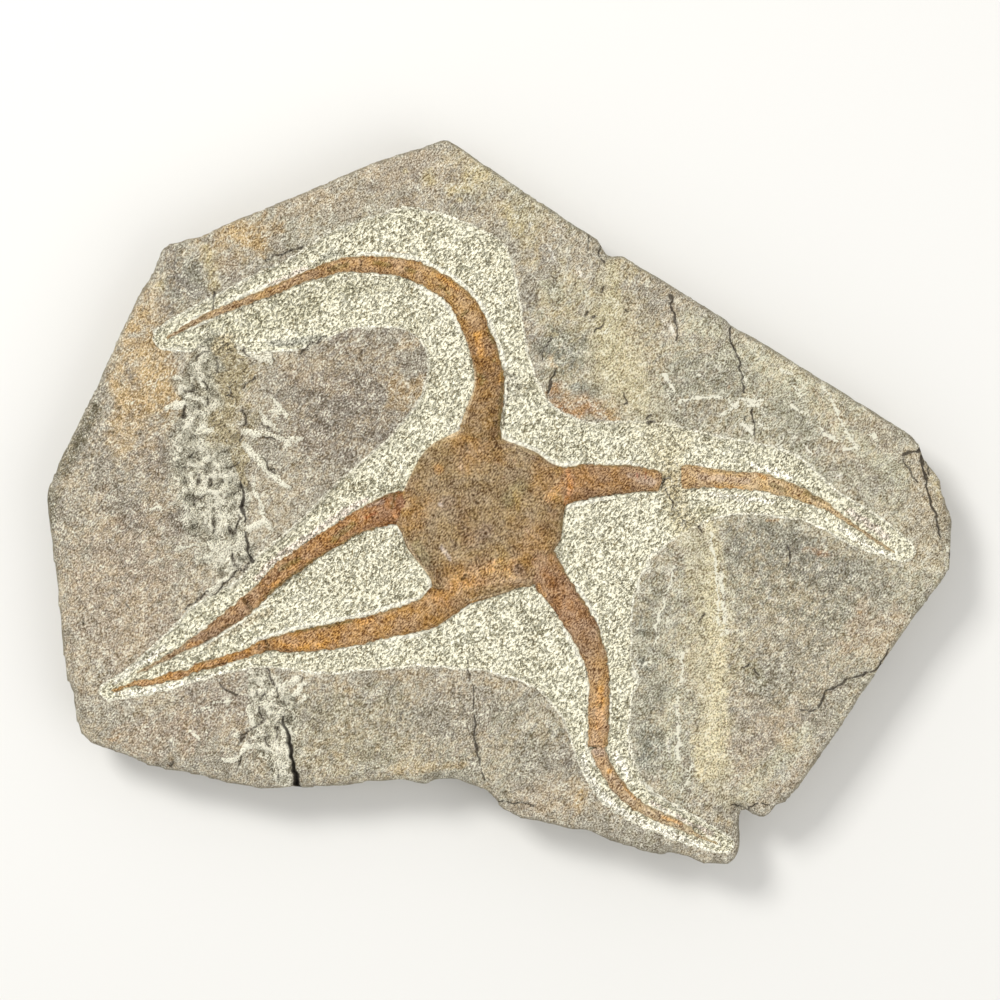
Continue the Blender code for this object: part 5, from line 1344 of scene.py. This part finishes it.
# ---- the star ----
TORN_STAR = (0.5, 1.6, 46.0)        # how the marks on the star are torn, as those on the slab
UPPER_SHARE = 0.78                  # of an arm's rows of faces that lie on its upper side
CROWN = 1.5                         # power of an arm's rise to its crest: 1 is round
ROOT_FLARE, ROOT_REACH = 0.03, 5.0  # how much wider an arm is at the disc, and how far out
ROOT_HEIGHT, ROOT_RISE = 2.3, 0.12  # its height there at most, and how fast that rises outwards
ROUGH_ARM, ROUGH_REACH = "arm_lower_right", 35.0    # the arm that is rougher, and how far out


def star_material(sizes):
    """Iron-stained fossil stone, fine grained, worn, with painted shade in its hollows and along
    its edges.
    """
    material, tree, shader = new_material("iron_stained_fossil")
    where, _, noises = grain_noises(tree, 2.1, STAR_CLOUD, 0.6)
    grains, clumps, _ = noises
    tint = node(tree, "Attribute", attribute_name="tint")
    low = node(tree, "Attribute", out="Fac", attribute_name="low")
    side_shade = node(tree, "Attribute", out="Fac", attribute_name="side_shade")
    rusty = node(tree, "TexNoise", {"Vector": where, "Scale": 1 / (RUST_PATCH * MM),
                                    "Detail": 4.0, "Roughness": 0.65})
    rusty = node(tree, "MapRange", {0: rusty, 1: 0.4, 2: 0.62, 3: 0.88, 4: 1.08})
    color = node(tree, "HueSaturation", {"Saturation": rusty, "Color": tint})
    # painted light and shade of the grains
    color = grained(tree, color, noises, sizes, swells=(0.3, 0.18), shady=(0.74, 0.6),
                    bright=(0.74, 0.9, 1.8), crest_highlight=(0.78, 0.96, 0.3))

    # painted shade along the edges, strongest on one side, and a bruised rim at the foot
    broken = node(tree, "MapRange", {0: clumps, 1: 0.4, 2: 0.6, 4: 0.6})
    side_shade = node(tree, "Math", {0: side_shade, 1: broken}, operation="MULTIPLY")
    color = node(tree, "Mix", {0: side_shade, 6: color, 7: shade(sizes.side_shade_color)}, **OVER)
    rim = node(tree, "MapRange", {0: low, 1: 0.35, 2: 0.05}, **EASED)
    broken = node(tree, "MapRange", {0: clumps, 1: 0.4, 2: 0.6, 3: 0.2, 4: 0.9}, **EASED)
    rim = node(tree, "Math", {0: rim, 1: broken}, operation="MULTIPLY")
    color = node(tree, "Mix", {0: rim, 6: color, 7: shade(sizes.bruise)}, **OVER)
    height = node(tree, "Math", {0: clumps, 1: 1.2, 2: grains}, **SCALED_SUM)
    dress(tree, shader, color, height, STAR_BUMP * MM, roughness=0.8, specular=0.2)
    return material


def star_base():
    """The recess floor under the star, in millimetres."""
    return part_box(DISC_NODE)[0].z / MM


def store_looks(piece, places, colors, inset):
    """Keeps each vertex's colour under its marks, its height over the recess floor, and where the
    painted shade along its edges lies, strongest on one side."""
    marked = painted(shaken(places, *TORN_STAR), colors, STAR_MARKS)
    store_color(piece, "tint", marked)
    facing = read(piece.data.vertices, "normal")
    turned = smooth(0.45 + facing[:, 0] * SHADED_SIDE[0] + facing[:, 1] * SHADED_SIDE[1])
    store(piece, "low", hold(places[:, 2] - star_base(), 0.0, 4.0))
    # painted shade near the edges, strongest where they face the shaded side
    store(piece, "side_shade", hold(0.25 + turned, 0, 1) * smooth((1.2 - inset) / 0.8))


def arm_grid(name, around, rows):
    """A flat grid that becomes an arm, and where each vertex lies in it: round it and along it."""
    bpy.ops.object.select_all(action="DESELECT")
    bpy.ops.mesh.primitive_grid_add(x_subdivisions=around, y_subdivisions=rows - 1, size=1.0)
    piece = bpy.context.object
    piece.name = name + "_fossil"
    piece.data.name = piece.name
    grid = read(piece.data.vertices, "co")
    turn = np.rint((grid[:, 0] + 0.5) * around).astype(int) % around
    row = np.rint((grid[:, 1] + 0.5) * (rows - 1)).astype(int)
    return piece, turn, row


def close_tube(piece):
    """Joins a rolled grid's edges, closes its ends and turns its faces outwards."""
    only(piece)
    bpy.ops.object.mode_set(mode="EDIT")
    bpy.ops.mesh.select_all(action="SELECT")
    bpy.ops.mesh.remove_doubles(threshold=1e-7)
    bpy.ops.mesh.fill_holes(sides=0)
    bpy.ops.mesh.select_all(action="SELECT")
    bpy.ops.mesh.normals_make_consistent(inside=False)
    bpy.ops.object.mode_set(mode="OBJECT")


def arm_piece(name, sizes, material):
    """One arm: a grid rolled into a low rounded tube along its line, with swollen segments."""
    line = np.array(along(ARM_LINES[name], sizes.row_length / MM))
    around = sizes.around
    upper = round(UPPER_SHARE * around)
    piece, turn, row = arm_grid(name, around, len(line))

    # its line, and its half width and height at each vertex
    ahead = np.gradient(line[:, :2], axis=0)
    ahead /= np.linalg.norm(ahead, axis=1)[:, None]
    side = np.stack([ahead[:, 1], -ahead[:, 0]], 1)[row]
    steps = np.linalg.norm(np.diff(line[:, :2], axis=0), axis=1)
    reach = np.concatenate([[0.0], np.cumsum(steps)])
    run = reach[row]
    half = line[row, 2]
    high = half * HEIGHT_SHARE + 0.1 + 0.35 * np.exp(-half)
    if name in DISC_ARMS:
        half = half * (1 + ROOT_FLARE * np.exp(-(run / ROOT_REACH) ** 2))
        high = np.minimum(high, ROOT_HEIGHT + ROOT_RISE * run)

    # the tube, rounded above and sunk below, with torn edges and ends
    over = turn <= upper
    angle = np.where(over, math.pi * turn / upper,
                     math.pi * (1 + (turn - upper) / (around - upper)))
    across = -np.cos(angle)
    lift = np.sin(angle)
    plain = line[row, :2] + side * (half * across)[:, None]
    torn = lumps(np.column_stack([plain, half]), 1.8, 44.0, 3)
    torn = 1 + sizes.ragged / MM * torn / half
    places = np.zeros((len(row), 3))
    places[:, :2] = line[row, :2] + side * (half * across * torn)[:, None]
    ends = np.exp(-np.minimum(run, reach[-1] - run)) * hold(half - 1, 0, 1)
    places[:, :2] += ahead[row] * (ends * lumps(places, 1.6, 47.0, 2))[:, None]
    below = sizes.sunk / MM * lift
    places[:, 2] = star_base() + np.where(over, high * np.abs(lift) ** CROWN, below)

    # ridges at its segments, and worn lumps, which are rougher near the disc on one arm
    count = run / (sizes.segment / MM) + 0.25 * lumps(places, 2.6, 41.0)
    ridge = np.abs((count % 1.0) - 0.5) * 2
    bulge = sizes.segment_relief / MM * (0.5 - ridge ** 2) * hold(half / 3.0, 0.2, 1.0)
    rough = sizes.relief / MM
    if name == ROUGH_ARM:
        rough = rough * (1 + 1.3 * smooth((ROUGH_REACH - run) / 8))
    bulge += rough * (lumps(places, 1.8, 42.0, 2) + 0.8 * lumps(places, 5.0, 43.0))
    outward = np.stack([side[:, 0] * across, side[:, 1] * across, np.abs(lift)], 1)
    places += outward * (np.where(over, bulge, 0.0) * hold(half / 1.5, 0.2, 1.0))[:, None]
    move_to(piece, places)
    close_tube(piece)

    # its colour along its length
    places = places_of(piece)
    nearest = np.argmin(np.hypot(places[:, None, 0] - line[None, ::4, 0],
                                 places[:, None, 1] - line[None, ::4, 1]), axis=1)
    shares, codes = zip(*ARM_TINTS[name])
    colors = np.stack([np.interp(reach[::4][nearest] / reach[-1], shares, channel)
                       for channel in zip(*map(linear, codes))], 1)
    away, half = to_line(places, line[::2])
    store_looks(piece, places, colors, half - away + 0.3 * lumps(places, 3.0, 45.0))
    adopt(piece, material, "fossil", name)


def disc_piece(sizes, material):
    """The disc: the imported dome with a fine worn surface, sunk into the recess floor."""
    piece = copy_of(DISC_NODE, "disc_fossil")
    places = places_of(piece)
    base = star_base()
    sunk = sizes.sunk / MM
    places[:, 2] = base + (places[:, 2] - base) * sizes.disc_height
    places[places[:, 2] < base + 0.05, 2] = base - sunk
    move_to(piece, places)
    modify(piece, "REMESH", mode="VOXEL", voxel_size=sizes.face_size)
    places = places_of(piece)
    slope = 1.6 * depth_in(places, DISC_EDGE) + 0.3
    places[:, 2] = np.minimum(places[:, 2], base + hold(slope, -sunk, 9.0))
    move_to(piece, places)
    modify(piece, "SMOOTH", factor=0.5, iterations=6)
    places = places_of(piece)
    worn = sizes.relief / MM * (0.8 * lumps(places, 2.0, 51.0, 2) + 1.1 * lumps(places, 7.0, 52.0))
    worn *= smooth(places[:, 2] - base)
    places += read(piece.data.vertices, "normal") * worn[:, None]
    move_to(piece, places)

    # warmer towards the arms' roots, where the painted shade along the edges stays off its rim
    roots = [line[0] for line in ARM_LINES.values()]
    away = np.min([np.hypot(places[:, 0] - x, places[:, 1] - y) for x, y, _ in roots], axis=0)
    share = smooth((13 - away) / 10 + 0.5 * lumps(places, 8.0, 53.0, 3))
    colors = mixed(np.array(sizes.disc[:]), share, sizes.disc_warm[:])
    inset = depth_in(places, DISC_EDGE) + 4 * smooth((12 - away) / 5)
    store_looks(piece, places, colors, inset + 0.3 * lumps(places, 3.0, 45.0))
    adopt(piece, material, "fossil", DISC_NODE)


class FOSSIL_OT_star(bpy.types.Operator):
    """Dresses the star: its disc and the pieces of its arms."""
    bl_idname = "fossil.star"
    bl_label = "Brittle star"

    def execute(self, context):
        sizes = context.scene.fossil_star
        material = star_material(sizes)
        disc_piece(sizes, material)
        for name in ARM_LINES:
            arm_piece(name, sizes, material)
        return {"FINISHED"}


# ---- floor, light and camera, in metres ----
FLOOR_SIDE = 4.0
MOTTLE = 0.4                        # width of the floor's mottle
KEY_PLACE, KEY_SIDE = (-0.75, 0.75, 1.3), 0.5
FILL_PLACE, FILL_SIDE = (0.9, -0.5, 1.2), 1.2
SKY_COLOR = "#F2F3F5"
VIEW_MIDDLE = (0.0003, 0.0008)      # where the camera looks down on
SENSOR = 36.0                       # in millimetres, as the lens


class FOSSIL_OT_stage(bpy.types.Operator):
    """Lays a plain pale floor and sets up soft light and a camera that looks straight down."""
    bl_idname = "fossil.stage"
    bl_label = "Floor, light and camera"

    def execute(self, context):
        sizes = context.scene.fossil_stage
        scene = context.scene
        bpy.ops.object.select_all(action="DESELECT")
        bpy.ops.mesh.primitive_plane_add(size=FLOOR_SIDE)
        floor = context.object
        floor.name = "floor"
        material, tree, shader = new_material("matt_painted_board")
        where = node(tree, "TexCoord", out="Object")
        mottle = node(tree, "TexNoise", {"Vector": where, "Scale": 1 / MOTTLE})
        paint = node(tree, "Mix", {0: mottle, 6: shade(sizes.floor), 7: shade(sizes.floor_dim)},
                     **OVER)
        tree.links.new(paint, shader.inputs["Base Color"])
        shader.inputs["Roughness"].default_value = 0.9
        floor.data.materials.append(material)

        self.light("key_light", KEY_PLACE, KEY_SIDE, sizes.key_power)
        self.light("fill_light", FILL_PLACE, FILL_SIDE, sizes.fill_power)
        world = bpy.data.worlds.new("even_light")
        world.use_nodes = True
        sky = world.node_tree.nodes["Background"].inputs
        sky["Color"].default_value = shade(linear(SKY_COLOR))
        sky["Strength"].default_value = sizes.sky
        scene.world = world

        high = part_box(SLAB_NODE)[1].z + sizes.view_width * sizes.lens / SENSOR
        bpy.ops.object.camera_add(location=(*VIEW_MIDDLE, high), rotation=(0.0, 0.0, 0.0))
        camera = context.object
        camera.name = "camera"
        camera.data.lens = sizes.lens
        camera.data.sensor_width = SENSOR
        scene.camera = camera
        scene.view_settings.view_transform = "Standard"
        return {"FINISHED"}

    def light(self, name, place, size, power):
        """A soft square lamp that looks at the slab."""
        bpy.ops.object.light_add(type="AREA", location=place)
        lamp = bpy.context.object
        lamp.name = name
        lamp.data.size = size
        lamp.data.energy = power
        lamp.rotation_euler = (-Vector(place)).to_track_quat("-Z", "Y").to_euler()


class FOSSIL_PT_panel(bpy.types.Panel):
    """Lists the pieces and what can be changed on them."""
    bl_idname = "FOSSIL_PT_panel"
    bl_label = "Fossil brittle star"
    bl_space_type = "VIEW_3D"
    bl_region_type = "UI"
    bl_category = "Fossil"

    def draw(self, context):
        groups = [(FOSSIL_OT_slab, context.scene.fossil_slab),
                  (FOSSIL_OT_star, context.scene.fossil_star),
                  (FOSSIL_OT_stage, context.scene.fossil_stage)]
        for operator, group in groups:
            box = self.layout.box()
            box.operator(operator.bl_idname)
            for name in group.bl_rna.properties.keys():
                if name not in {"rna_type", "name"}:
                    box.prop(group, name)


CLASSES = [
    FossilSlabSettings, FossilStarSettings, FossilStageSettings,
    FOSSIL_OT_slab, FOSSIL_OT_star, FOSSIL_OT_stage, FOSSIL_PT_panel,
]


def register():
    for item in CLASSES:
        bpy.utils.register_class(item)
    bpy.types.Scene.fossil_slab = bpy.props.PointerProperty(type=FossilSlabSettings)
    bpy.types.Scene.fossil_star = bpy.props.PointerProperty(type=FossilStarSettings)
    bpy.types.Scene.fossil_stage = bpy.props.PointerProperty(type=FossilStageSettings)


def unregister():
    del bpy.types.Scene.fossil_slab
    del bpy.types.Scene.fossil_star
    del bpy.types.Scene.fossil_stage
    for item in reversed(CLASSES):
        bpy.utils.unregister_class(item)


def main():
    register()
    bpy.ops.fossil.slab()
    bpy.ops.fossil.star()
    bpy.ops.fossil.stage()


if __name__ == "__main__":
    main()
